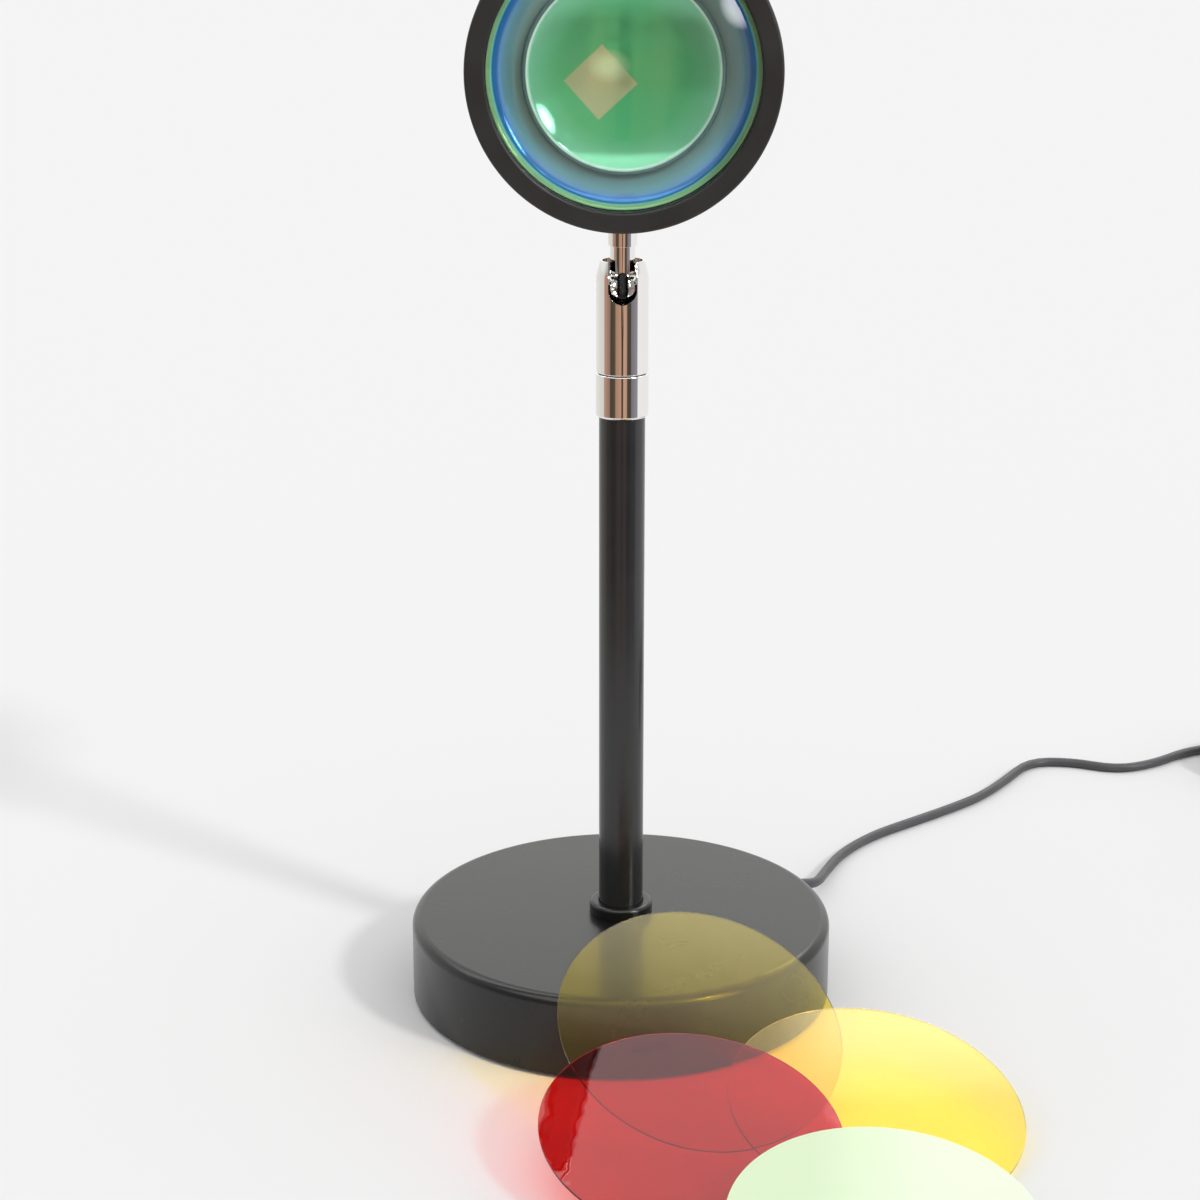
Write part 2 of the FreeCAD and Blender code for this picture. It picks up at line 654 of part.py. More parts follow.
def tilt_pins():
    """Two stub pins, one through each side of the sleeve into the ball."""
    inner = KNUCKLE_R - TILT_PIN_DEPTH
    outer = math.sqrt(SLEEVE_R**2 - TILT_PIN_R**2)
    stubs = []
    for side in (-1, 1):
        stubs.append(Part.makeCylinder(TILT_PIN_R, outer - inner, PIVOT + X * (side * inner), X * side))
    return Part.makeCompound(stubs)


def head_wall_cylinder(radius):
    """The head's own round wall as a tool, drawn on the upright neck."""
    return Part.makeCylinder(radius, HEAD_DEPTH, FreeCAD.Vector(0, FACE_Y, HEAD_Z), Y)


def knuckle():
    """Ball, neck and threaded end in one turned piece, bored through for the wires."""
    ball = Part.makeSphere(KNUCKLE_R, PIVOT)
    neck = disc(NECK_R, PIVOT_Z, HEAD_UNDER_Z - 1)
    thread = disc(NECK_THREAD_R, HEAD_UNDER_Z - 1, NECK_THREAD_TOP)
    piece = ball.fuse([neck, thread])
    piece = piece.cut(disc(NECK_BORE_R, PIVOT_Z - KNUCKLE_R - 1, NECK_THREAD_TOP + 1))
    for side in (-1, 1):
        start = KNUCKLE_R - TILT_PIN_DEPTH - RUNNING
        hole = Part.makeCylinder(TILT_PIN_R + RUNNING, KNUCKLE_R, PIVOT + X * (side * start), X * side)
        piece = piece.cut(hole)
    return drooped(piece)


def neck_ring():
    """Chrome lock ring on the neck, its top shaped to the round head."""
    ring = disc(NECK_RING_R, HEAD_UNDER_Z - NECK_RING_HEIGHT, HEAD_UNDER_Z + 1)
    ring = bevel_rim(ring, NECK_RING_BEVEL, NECK_RING_R, HEAD_UNDER_Z - NECK_RING_HEIGHT)
    ring = ring.cut(disc(NECK_R + PRESSED, HEAD_UNDER_Z - NECK_RING_HEIGHT - 1, HEAD_UNDER_Z + 2))
    return drooped(ring.cut(head_wall_cylinder(HEAD_R)))


def neck_nut():
    low = NECK_NUT_BOTTOM
    nut = hexagon(NECK_NUT_FLATS, low, low + NECK_NUT_THICK)
    return drooped(nut.cut(disc(NECK_THREAD_R + PRESSED, low - 1, low + NECK_NUT_THICK + 1)))


# ---------------------------------------------------------------- head, drawn with z back from the front face
def front_ring():
    ring = turned(
        [
            (RING_OPENING_R, 0),
            (HEAD_R, 0),
            (HEAD_R, RING_LENGTH),
            (RING_BORE_R, RING_LENGTH),
            (RING_BORE_R, RING_LIP),
            (RING_OPENING_R, RING_LIP),
        ]
    )
    ring = round_rim(ring, RING_FACE_ROUND, HEAD_R, 0)
    ring = bevel_rim(ring, RING_OPENING_BEVEL, RING_OPENING_R, 0)
    return on_head(ring)


def lens():
    """Domed glass: a flat back, a rim held behind the ring's lip and a dome that stands out through it."""
    dome_edge_r = RING_OPENING_R - LOOSE
    dome_r = (dome_edge_r**2 + LENS_RISE**2) / (2 * LENS_RISE)
    top = RING_LIP - LENS_RISE
    half = math.asin(dome_edge_r / dome_r) / 2
    middle = (dome_r * math.sin(half), top + dome_r - dome_r * math.cos(half))
    arc = Part.Arc(
        FreeCAD.Vector(0, 0, top), FreeCAD.Vector(middle[0], 0, middle[1]), FreeCAD.Vector(dome_edge_r, 0, RING_LIP)
    )
    rest = Part.makePolygon(
        [
            FreeCAD.Vector(dome_edge_r, 0, RING_LIP),
            FreeCAD.Vector(STACK_R, 0, RING_LIP),
            FreeCAD.Vector(STACK_R, 0, LENS_BACK),
            FreeCAD.Vector(0, 0, LENS_BACK),
            FreeCAD.Vector(0, 0, top),
        ]
    )
    face = Part.Face(Part.Wire([arc.toShape()] + rest.Edges))
    return on_head(face.revolve(ORIGIN, Z, 360))


def lens_gasket():
    return on_head(disc(STACK_R, LENS_BACK, GASKET_BACK, STACK_R - GASKET_WIDTH))


def low_dome(radius, height, low):
    """A dome that rises along +Z from a flat circle."""
    ball_r = (radius**2 + height**2) / (2 * height)
    ball = Part.makeSphere(ball_r, FreeCAD.Vector(0, 0, low + height - ball_r))
    return ball.common(disc(radius + 1, low, low + height + 1))


def coated_glass():
    """Inner lens with a colour coating: a flat rim behind the gasket and a hollow middle that bulges back."""
    glass = disc(STACK_R, GASKET_BACK, GLASS_BACK)
    glass = glass.fuse(low_dome(DISH_R + BULGE_BEYOND_DISH, DISH_DEPTH, GLASS_BACK))
    return on_head(glass.cut(low_dome(DISH_R, DISH_DEPTH, GASKET_BACK)).removeSplitter())


def spring_clip():
    """Wire ring sprung into the front ring to hold the glass in, with its gap at the top."""
    ring = disc(RING_BORE_R - PRESSED, GLASS_BACK, CLIP_BACK, STACK_R - CLIP_WIDTH)
    corner = FreeCAD.Vector(-CLIP_GAP / 2, -RING_BORE_R, GLASS_BACK - 1)
    gap = Part.makeBox(CLIP_GAP, RING_BORE_R / 2, CLIP_THICK + 2, corner)
    return on_head(ring.cut(gap))


def head_body():
    """Turned aluminium can with cooling grooves behind the neck and a web inside that carries the light."""
    end_r = HEAD_R
    body = turned(
        [
            (SPIGOT_BORE_R, SPIGOT_START),
            (RING_BORE_R - RUNNING, SPIGOT_START),
            (RING_BORE_R - RUNNING, RING_LENGTH + SEAM),
            (end_r, RING_LENGTH + SEAM),
            (end_r, BODY_END),
            (REAR_BORE_R, BODY_END),
            (REAR_BORE_R, WEB_BACK),
            (0, WEB_BACK),
            (0, WEB_FRONT),
            (BODY_BORE_R, WEB_FRONT),
            (BODY_BORE_R, CONE_SEAT),
            (SPIGOT_BORE_R, CONE_SEAT),
        ]
    )
    for step in range(FIN_COUNT):
        high = LAST_GROOVE - FIN_PITCH * step
        body = body.cut(disc(HEAD_R + 1, high - FIN_GROOVE, high, HEAD_R - FIN_GROOVE_DEPTH))
    bosses = []
    for place in round_circle(COVER_SCREW_PCD / 2, COVER_SCREW_COUNT, -90):
        bosses.append(Part.makeCylinder(COVER_BOSS_R, BODY_END - WEB_BACK, place + Z * WEB_BACK))
    for place in round_circle(PILLAR_PCD / 2, PILLAR_COUNT, -90):
        bosses.append(Part.makeCylinder(PILLAR_R, PILLAR_LENGTH, place + Z * WEB_BACK))
    body = body.fuse(bosses)
    for place in round_circle(COVER_SCREW_PCD / 2, COVER_SCREW_COUNT, -90):
        depth = COVER_SCREW_LENGTH + 1
        body = body.cut(Part.makeCylinder(COVER_SCREW_R + PRESSED, depth, place + Z * (BODY_END - depth + 1)))
    for place in round_circle(PILLAR_PCD / 2, PILLAR_COUNT, -90):
        hole = Part.makeCylinder(BOARD_SCREW_R + PRESSED, BOARD_SCREW_LENGTH, place + Z * (WEB_BACK + 1))
        body = body.cut(hole)
    for place in round_circle(LED_SCREW_PCD / 2, 2, 0):
        body = body.cut(Part.makeCylinder(BOARD_SCREW_R + PRESSED, BOARD_SCREW_LENGTH, place + Z * WEB_FRONT))
    wire_hole = Part.makeCylinder(WEB_WIRE_HOLE_R, WEB_THICK + 2, FreeCAD.Vector(0, WIRE_BELOW_AXIS, WEB_FRONT - 1))
    body = on_head(body.cut(wire_hole).removeSplitter())
    neck_hole = disc(NECK_THREAD_R + PRESSED, HEAD_UNDER_Z - 1, HEAD_UNDER_Z + HEAD_R / 2)
    return body.cut(drooped(neck_hole))


def light_cone():
    """Spun reflector that opens from the light to the lens."""
    slope = (CONE_MOUTH_R - CONE_THROAT_R) / (CONE_THROAT - CONE_SEAT)
    wall = CONE_WALL * math.sqrt(1 + slope**2)
    return on_head(
        turned(
            [
                (CONE_MOUTH_R - wall, CONE_SEAT - CONE_FLANGE),
                (SPIGOT_BORE_R - PRESSED, CONE_SEAT - CONE_FLANGE),
                (SPIGOT_BORE_R - PRESSED, CONE_SEAT),
                (CONE_MOUTH_R, CONE_SEAT),
                (CONE_THROAT_R, CONE_THROAT),
                (CONE_THROAT_R - wall / 2, CONE_THROAT),
            ]
        )
    )


def led_board():
    board = disc(LED_BOARD_R, WEB_FRONT - LED_BOARD_THICK, WEB_FRONT)
    for place in round_circle(LED_SCREW_PCD / 2, 2, 0):
        board = board.cut(
            Part.makeCylinder(BOARD_SCREW_R + PRESSED, LED_BOARD_THICK + 2, place + Z * (WEB_FRONT - LED_BOARD_THICK - 1))
        )
    return on_head(board)


def led_emitter():
    front = WEB_FRONT - LED_BOARD_THICK
    chip = Part.makeBox(LED_SIDE, LED_SIDE, LED_THICK, FreeCAD.Vector(-LED_SIDE / 2, -LED_SIDE / 2, front - LED_THICK))
    dot = disc(LED_DOT_R, front - LED_THICK - LED_DOT_THICK, front - LED_THICK)
    return on_head(chip.fuse(dot))


def board_screws():
    """Two screws hold the light's board in front of the web, three hold the driver board behind it."""
    screws = []
    front = pan_screw(BOARD_SCREW_R, LED_BOARD_THICK + BOARD_SCREW_LENGTH - 1, BOARD_SCREW_HEAD_R, BOARD_SCREW_HEAD)
    for place in round_circle(LED_SCREW_PCD / 2, 2, 0):
        screws.append(moved(front, place + Z * (WEB_FRONT - LED_BOARD_THICK)))
    back = pan_screw(BOARD_SCREW_R, DRIVER_BOARD_THICK + BOARD_SCREW_LENGTH - 1, BOARD_SCREW_HEAD_R, BOARD_SCREW_HEAD)
    back.rotate(ORIGIN, X, 180)
    for place in round_circle(PILLAR_PCD / 2, PILLAR_COUNT, -90):
        screws.append(moved(back, place + Z * (WEB_BACK + PILLAR_LENGTH + DRIVER_BOARD_THICK)))
    return on_head(Part.makeCompound(screws))


def driver_board():
    """Round circuit board with its capacitor and coil."""
    low = WEB_BACK + PILLAR_LENGTH
    high = low + DRIVER_BOARD_THICK
    board = disc(DRIVER_BOARD_R, low, high)
    half = COIL_BLOCK_SIDE / 2
    board = board.fuse(Part.makeCylinder(CAPACITOR_R, CAPACITOR_HEIGHT, FreeCAD.Vector(*CAPACITOR_AT, high)))
    board = board.fuse(
        Part.makeBox(
            COIL_BLOCK_SIDE,
            COIL_BLOCK_SIDE,
            COIL_BLOCK_HEIGHT,
            FreeCAD.Vector(COIL_BLOCK_AT[0] - half, COIL_BLOCK_AT[1] - half, high),
        )
    )
    for place in round_circle(PILLAR_PCD / 2, PILLAR_COUNT, -90):
        board = board.cut(
            Part.makeCylinder(BOARD_SCREW_R + PRESSED, DRIVER_BOARD_THICK + 2, place + Z * (low - 1))
        )
    return on_head(board)


def rear_cover():
    """Cap on the back of the head with a ring of radial vents."""
    cover = disc(HEAD_R, BODY_END, HEAD_DEPTH)
    cover = round_rim(cover, COVER_ROUND, HEAD_R, HEAD_DEPTH)
    cover = cover.cut(disc(COVER_POCKET_R, BODY_END - 1, HEAD_DEPTH - COVER_THICK))
    for step in range(VENT_COUNT):
        slot = Part.makeBox(
            VENT_OUTER_R - VENT_INNER_R,
            VENT_WIDTH,
            COVER_THICK + 2,
            FreeCAD.Vector(VENT_INNER_R, -VENT_WIDTH / 2, HEAD_DEPTH - COVER_THICK - 1),
        )
        for end in (VENT_INNER_R, VENT_OUTER_R):
            slot = slot.fuse(
                Part.makeCylinder(
                    VENT_WIDTH / 2, COVER_THICK + 2, FreeCAD.Vector(end, 0, HEAD_DEPTH - COVER_THICK - 1)
                )
            )
        slot.rotate(ORIGIN, Z, 360.0 * step / VENT_COUNT)
        cover = cover.cut(slot)
    tool = screw(COVER_SCREW_R + PRESSED, HEAD_DEPTH, COVER_SCREW_HEAD_R + PRESSED, COVER_SCREW_HEAD)
    tool.rotate(ORIGIN, X, 180)
    for place in round_circle(COVER_SCREW_PCD / 2, COVER_SCREW_COUNT, -90):
        cover = cover.cut(moved(tool, place + Z * HEAD_DEPTH))
    return on_head(cover)


def cover_screws():
    one = screw(
        COVER_SCREW_R, HEAD_DEPTH - BODY_END + COVER_SCREW_LENGTH - 1, COVER_SCREW_HEAD_R, COVER_SCREW_HEAD
    )
    one.rotate(ORIGIN, X, 180)
    places = round_circle(COVER_SCREW_PCD / 2, COVER_SCREW_COUNT, -90)
    return on_head(Part.makeCompound([moved(one, place + Z * HEAD_DEPTH) for place in places]))


# ---------------------------------------------------------------- leads and cord
def swept(path, radius):
    """A round solid along a smooth wire, checked against section times length."""
    first = path.OrderedEdges[0]
    start = first.valueAt(first.FirstParameter)
    direction = first.tangentAt(first.FirstParameter)
    if first.Orientation == "Reversed":
        start = first.valueAt(first.LastParameter)
        direction = first.tangentAt(first.LastParameter) * -1
    circle = Part.Wire(Part.Circle(start, direction, radius).toShape())
    shell = Part.BRepOffsetAPI.MakePipeShell(path)
    shell.add(circle)
    shell.build()
    shell.makeSolid()
    solid = shell.shape()
    expected = math.pi * radius**2 * path.Length
    return solid, expected


def tube(name, points, radius):
    """A cord's free stretch: straight runs joined by the largest tangent arcs that they allow."""
    corners = [FreeCAD.Vector(*point) for point in points]
    edges = []
    radii = []
    here = corners[0]
    for before, corner, after in zip(corners, corners[1:], corners[2:]):
        way_in = (corner - before).normalize()
        way_out = (after - corner).normalize()
        half_turn = way_in.getAngle(way_out) / 2
        reach = ARC_SHARE * min((corner - before).Length, (after - corner).Length)
        bend = reach / math.tan(half_turn)
        enter = corner - way_in * reach
        leave = corner + way_out * reach
        towards = (way_out - way_in).normalize()
        middle = corner + towards * (bend / math.cos(half_turn) - bend)
        edges.append(Part.LineSegment(here, enter).toShape())
        edges.append(Part.Arc(enter, middle, leave).toShape())
        radii.append(bend)
        here = leave
    edges.append(Part.LineSegment(here, corners[-1]).toShape())
    path = Part.Wire(edges)
    solid, expected = swept(path, radius)
    print(
        "%s: length %.1f mm, radii %s, volume %.1f of %.1f mm3"
        % (name, path.Length, " ".join("%.0f" % bend for bend in radii), solid.Volume, expected)
    )
    return solid


def biarc(start, start_way, end, end_way):
    """Two arcs that leave start and reach end along the given unit directions."""
    chord = end - start
    ways = start_way + end_way
    spread = 2 * (1 - start_way.dot(end_way))
    along = chord.dot(ways)
    if spread < 1e-9:
        reach = chord.dot(chord) / (4 * chord.dot(end_way))
    else:
        reach = (math.sqrt(along**2 + spread * chord.dot(chord)) - along) / spread
    first_corner = start + start_way * reach
    second_corner = end - end_way * reach
    join = (first_corner + second_corner) * 0.5
    arcs = []
    for a, corner, b in ((start, first_corner, join), (join, second_corner, end)):
        half_turn = (corner - a).getAngle(b - corner) / 2
        chord_middle = (a + b) * 0.5
        share = math.cos(half_turn) / (1 + math.cos(half_turn))
        arcs.append(Part.Arc(a, chord_middle + (corner - chord_middle) * share, b).toShape())
    return arcs


def coil_outer_r():
    return COIL_INNER_R + COIL_PITCH * COIL_LAYER_TURNS[0]


def coil_stretches():
    """The coil's stretches in turns: (length, radius at start, kind, height). Kinds: -1 in, 1 out, 0 climb."""
    stretches = []
    radius = coil_outer_r()
    height = COIL_FLOOR
    for layer, turns in enumerate(COIL_LAYER_TURNS):
        way = -1 if layer % 2 == 0 else 1
        stretches.append((turns, radius, way, height))
        radius += way * COIL_PITCH * turns
        if layer < len(COIL_LAYER_TURNS) - 1:
            stretches.append((0.5, radius, 2 * way, height))
            height += COIL_PITCH
    return stretches


def coil_point(turn):
    """The cord's middle after this many turns, seen from above turning clockwise."""
    left = turn
    for length, start_r, way, height in coil_stretches():
        if left <= length + 1e-9:
            break
        left -= length
    if abs(way) == 1:
        radius = start_r + way * COIL_PITCH * left
        z = height
    else:
        share = left / length
        radius = start_r + way / 2 * COIL_PITCH * (left - left**2 / length)
        z = height + COIL_PITCH * share**2 * (3 - 2 * share)
    angle = math.radians(COIL_START_ANGLE - 360.0 * turn)
    return FreeCAD.Vector(COIL_X + radius * math.cos(angle), COIL_Y + radius * math.sin(angle), z)


def coil_way(turn):
    small = 0.002
    low = max(turn - small, 0.0)
    high = min(turn + small, coil_turns())
    way = (coil_point(high) - coil_point(low)).normalize()
    if turn in (0.0, coil_turns()):
        way = FreeCAD.Vector(way.x, way.y, 0).normalize()
        square = Z.cross(coil_point(turn) - FreeCAD.Vector(COIL_X, COIL_Y, coil_point(turn).z)).normalize()
        way = square * (1 if square.dot(way) > 0 else -1)
    return way


def coil_turns():
    return sum(stretch[0] for stretch in coil_stretches())


def coil_end(last):
    """Where the coil's straight end meets the next stretch, at its start or its last turn."""
    turn = coil_turns() if last else 0.0
    return coil_point(turn) + coil_way(turn) * (2 * CORD_R * (1 if last else -1))


def cord_coil():
    """The put-away length as one neat coil: loops that spiral in and out again, layer on layer."""
    steps = int(round(coil_turns() * 4))
    edges = [Part.LineSegment(coil_end(False), coil_point(0.0)).toShape()]
    for step in range(steps):
        a = step / 4.0
        b = (step + 1) / 4.0
        edges += biarc(coil_point(a), coil_way(a), coil_point(b), coil_way(b))
    edges.append(Part.LineSegment(coil_point(coil_turns()), coil_end(True)).toShape())
    path = Part.Wire(edges)
    solid, expected = swept(path, CORD_R)
    samples = []
    travelled = 0.0
    for edge in edges:
        for k in range(12):
            at = edge.FirstParameter + (edge.LastParameter - edge.FirstParameter) * k / 12.0
            samples.append((travelled + edge.Length * k / 12.0, edge.valueAt(at)))
        travelled += edge.Length
    least = 1e9
    for i, (way_i, p) in enumerate(samples):
        for way_j, q in samples[i + 1 :]:
            if way_j - way_i > 8 * CORD_R:
                dx = p.x - q.x
                dy = p.y - q.y
                dz = p.z - q.z
                least = min(least, dx * dx + dy * dy + dz * dz)
    gap = math.sqrt(least) - 2 * CORD_R
    print(
        "cord_coil: %.2f turns, length %.1f mm, least gap to itself %.2f mm, volume %.1f of %.1f mm3"
        % (coil_turns(), path.Length, gap, solid.Volume, expected)
    )
    return solid


def inner_lead():
    """The cord inside the lamp: in through the base, round a bend and up the stem to the spindle's top."""
    top = FERRULE_TOP + SPINDLE_ABOVE + 0.5
    outside = EXIT_DIRECTION * BOOT_TIP_FROM_AXIS + Z * EXIT_HEIGHT
    bend_start = EXIT_DIRECTION * LEAD_BEND + Z * EXIT_HEIGHT
    bend_end = Z * (EXIT_HEIGHT + LEAD_BEND)
    lean = LEAD_BEND * (1 - math.sqrt(0.5))
    bend_middle = EXIT_DIRECTION * lean + Z * (EXIT_HEIGHT + lean)
    path = Part.Wire(
        [
            Part.LineSegment(outside, bend_start).toShape(),
            Part.Arc(bend_start, bend_middle, bend_end).toShape(),
            Part.LineSegment(bend_end, Z * top).toShape(),
        ]
    )
    return swept(path, CORD_R)[0]


def neck_wires():
    """Wires from the knuckle up the neck, back through the web and on to the driver board."""
    low = PIVOT_Z - KNUCKLE_R + 1
    high = HEAD_Z - WIRE_BELOW_AXIS
    end = FACE_Y + WEB_BACK + PILLAR_LENGTH
    corner = math.sqrt(0.5) * WIRE_BEND
    path = Part.Wire(
        [
            Part.LineSegment(FreeCAD.Vector(0, 0, low), FreeCAD.Vector(0, 0, high - WIRE_BEND)).toShape(),
            Part.Arc(
                FreeCAD.Vector(0, 0, high - WIRE_BEND),
                FreeCAD.Vector(0, WIRE_BEND - corner, high - WIRE_BEND + corner),
                FreeCAD.Vector(0, WIRE_BEND, high),
            ).toShape(),
            Part.LineSegment(FreeCAD.Vector(0, WIRE_BEND, high), FreeCAD.Vector(0, end, high)).toShape(),
        ]
    )
    return drooped(swept(path, WIRE_R)[0])


# ---------------------------------------------------------------- switch on the cord
def switch_place(shape):
    """Centres a shape drawn about Z on the switch, whose length runs along Y."""
    entry = LEAD_ROUTE[-1]
    middle_y = (LEAD_ROUTE[-1][1] + TAIL_ROUTE[0][1]) / 2
    return moved(shape, FreeCAD.Vector(entry[0], middle_y, 0))


def switch_half_length():
    return (LEAD_ROUTE[-1][1] - TAIL_ROUTE[0][1]) / 2 + CORD_IN_NECK


def switch_body():
    """The whole outside of the switch before it is split: a rounded block with a neck at each end."""
    block = rounded_box(SWITCH_WIDTH, SWITCH_LENGTH, 0, SWITCH_HEIGHT, SWITCH_CORNER)
    block = block.makeFillet(SWITCH_EDGE_ROUND, [e for e in block.Edges if e.CenterOfMass.z > SWITCH_HEIGHT - 0.01])
    necks = Part.makeCylinder(
        SWITCH_NECK_R, 2 * switch_half_length(), FreeCAD.Vector(0, -switch_half_length(), SWITCH_SPLIT), Y
    )
    cords = Part.makeCylinder(
        CORD_R + PRESSED, 2 * switch_half_length() + 2, FreeCAD.Vector(0, -switch_half_length() - 1, SWITCH_SPLIT), Y
    )
    return block.fuse(necks).cut(cords)


def switch_cavity(low, high):
    return rounded_box(
        SWITCH_WIDTH - 2 * SWITCH_WALL, SWITCH_LENGTH - 2 * SWITCH_WALL, low, high, SWITCH_CORNER - SWITCH_WALL
    )


def switch_post_places():
    return [Y * SWITCH_POST_FROM_MIDDLE, Y * -SWITCH_POST_FROM_MIDDLE]


def switch_slab(low, high):
    reach = 2 * SWITCH_LENGTH
    return Part.makeBox(2 * reach, 2 * reach, high - low, FreeCAD.Vector(-reach, -reach, low))


def post_side(place):
    """The screw posts stand beside the cord, one to each side of it."""
    return place + X * (SWITCH_POST_ASIDE if place.y > 0 else -SWITCH_POST_ASIDE)


def switch_base():
    lower = switch_body().common(switch_slab(-1, SWITCH_SPLIT))
    lower = lower.cut(switch_cavity(SWITCH_WALL, SWITCH_SPLIT + 1))
    for place in switch_post_places():
        lower = lower.fuse(
            Part.makeCylinder(SWITCH_POST_R, SWITCH_SPLIT - SWITCH_WALL, post_side(place) + Z * SWITCH_WALL)
        )
        lower = lower.cut(
            moved(
                screw(SWITCH_SCREW_R + PRESSED, SWITCH_SCREW_LENGTH + 1, SWITCH_SCREW_HEAD_R + PRESSED, 1.0),
                post_side(place),
            )
        )
    shelf = Part.makeBox(
        SWITCH_BOARD[1], 2.0, SWITCH_BOARD_Z - SWITCH_WALL, FreeCAD.Vector(-SWITCH_BOARD[1] / 2, -1.0, SWITCH_WALL)
    )
    return switch_place(lower.fuse(shelf).removeSplitter())


def switch_cover():
    upper = switch_body().common(switch_slab(SWITCH_SPLIT + PRESSED, SWITCH_HEIGHT + 1))
    upper = upper.cut(switch_cavity(SWITCH_SPLIT - 1, SWITCH_HEIGHT - SWITCH_WALL))
    upper = upper.cut(disc(SWITCH_HOLE_R, SWITCH_HEIGHT - SWITCH_WALL - 1, SWITCH_HEIGHT + 1))
    for place in switch_post_places():
        post = Part.makeCylinder(
            SWITCH_POST_R, SWITCH_HEIGHT - SWITCH_WALL - SWITCH_SPLIT, post_side(place) + Z * (SWITCH_SPLIT + PRESSED)
        )
        upper = upper.fuse(post)
        hole = Part.makeCylinder(
            SWITCH_SCREW_R + PRESSED, SWITCH_SCREW_LENGTH - SWITCH_SPLIT + 1, post_side(place) + Z * (SWITCH_SPLIT - 1)
        )
        upper = upper.cut(hole)
    return switch_place(upper.removeSplitter())


def switch_screws():
    one = screw(SWITCH_SCREW_R, SWITCH_SCREW_LENGTH, SWITCH_SCREW_HEAD_R, 1.0)
    return switch_place(Part.makeCompound([moved(one, post_side(place)) for place in switch_post_places()]))


def switch_board():
    """Small circuit board with the click cell in its middle."""
    width = SWITCH_BOARD[1]
    board = Part.makeBox(
        width, SWITCH_BOARD[0], SWITCH_BOARD[2], FreeCAD.Vector(-width / 2, -SWITCH_BOARD[0] / 2, SWITCH_BOARD_Z)
    )
    for place in switch_post_places():
        room = Part.makeCylinder(SWITCH_POST_R + LOOSE, SWITCH_HEIGHT, post_side(place))
        board = board.cut(room)
    cell = Part.makeBox(
        SWITCH_CELL[0],
        SWITCH_CELL[1],
        SWITCH_CELL[2],
        FreeCAD.Vector(-SWITCH_CELL[0] / 2, -SWITCH_CELL[1] / 2, SWITCH_BOARD_Z + SWITCH_BOARD[2]),
    )
    return switch_place(board.fuse(cell))


def switch_button():
    """Round push button: a cap in the cover's hole, a flange that keeps it in and a foot over the cell."""
    top = SWITCH_HEIGHT + BUTTON_PROUD
    under = SWITCH_HEIGHT - SWITCH_WALL - PRESSED * 2
    cell_top = SWITCH_BOARD_Z + SWITCH_BOARD[2] + SWITCH_CELL[2]
    foot = cell_top + BUTTON_TRAVEL + PRESSED * 2
    button = turned(
        [
            (0, foot),
            (BUTTON_FOOT_R, foot),
            (BUTTON_FOOT_R, under - BUTTON_FLANGE),
            (BUTTON_FLANGE_R, under - BUTTON_FLANGE),
            (BUTTON_FLANGE_R, under),
            (BUTTON_R, under),
            (BUTTON_R, top),
            (0, top),
        ]
    )
    return switch_place(round_rim(button, 0.6, BUTTON_R, top))


# ---------------------------------------------------------------- plug
def plug_place(shape):
    """Puts a shape drawn from the cord's end along +Y, at the cord's height, into its place."""
    end = TAIL_ROUTE[-1]
    return moved(shape, FreeCAD.Vector(end[0], end[1], end[2]))


def plug_grip():
    """Moulded grip with a tapering sleeve round the cord's end."""
    width, length, height = PLUG_GRIP
    start = PLUG_RELIEF_LENGTH - CORD_IN_NECK
    block = Part.makeBox(width, length, height, FreeCAD.Vector(-width / 2, start, -height / 2))
    along = [e for e in block.Edges if abs(e.tangentAt(e.FirstParameter).y) > 0.99]
    block = block.makeFillet(PLUG_GRIP_ROUND, along)
    sleeve = Part.makeCone(
        PLUG_RELIEF_TIP_R, PLUG_RELIEF_ROOT_R, PLUG_RELIEF_LENGTH, FreeCAD.Vector(0, -CORD_IN_NECK, 0), Y
    )
    grip = block.fuse(sleeve)
    grip = grip.cut(Part.makeCylinder(CORD_R + PRESSED, CORD_IN_NECK + 1, FreeCAD.Vector(0, -CORD_IN_NECK - 1, 0), Y))
    socket_w = PLUG_SHELL[0] + 2 * PRESSED
    socket_h = PLUG_SHELL[1] + 2 * PRESSED
    socket = Part.makeBox(
        socket_w,
        PLUG_SHELL_IN + 1,
        socket_h,
        FreeCAD.Vector(-socket_w / 2, start + length - PLUG_SHELL_IN, -socket_h / 2),
    )
    return plug_place(grip.cut(socket))


def plug_shell_start():
    return PLUG_RELIEF_LENGTH - CORD_IN_NECK + PLUG_GRIP[1] - PLUG_SHELL_IN


def plug_shell():
    width, height = PLUG_SHELL
    length = PLUG_SHELL_IN + PLUG_SHELL_OUT
    outside = Part.makeBox(width, length, height, FreeCAD.Vector(-width / 2, plug_shell_start(), -height / 2))
    wall = PLUG_SHELL_WALL
    inside = Part.makeBox(
        width - 2 * wall,
        length + 2,
        height - 2 * wall,
        FreeCAD.Vector(-width / 2 + wall, plug_shell_start() - 1, -height / 2 + wall),
    )
    shell = outside.cut(inside)
    for side in (-1, 1):
        corner = FreeCAD.Vector(
            side * PLUG_WINDOW_ASIDE - PLUG_WINDOW[0] / 2,
            plug_shell_start() + PLUG_SHELL_IN + PLUG_WINDOW_FROM_GRIP,
            -height / 2 - 1,
        )
        window = Part.makeBox(PLUG_WINDOW[0], PLUG_WINDOW[1], height + 2, corner)
        shell = shell.cut(window)
    return plug_place(shell)


def plug_tongue():
    width, height = PLUG_TONGUE
    length = PLUG_SHELL_IN + PLUG_SHELL_OUT - PLUG_TONGUE_SHORT
    bottom = -PLUG_SHELL[1] / 2 + PLUG_SHELL_WALL + PRESSED
    return plug_place(Part.makeBox(width, length, height, FreeCAD.Vector(-width / 2, plug_shell_start(), bottom)))


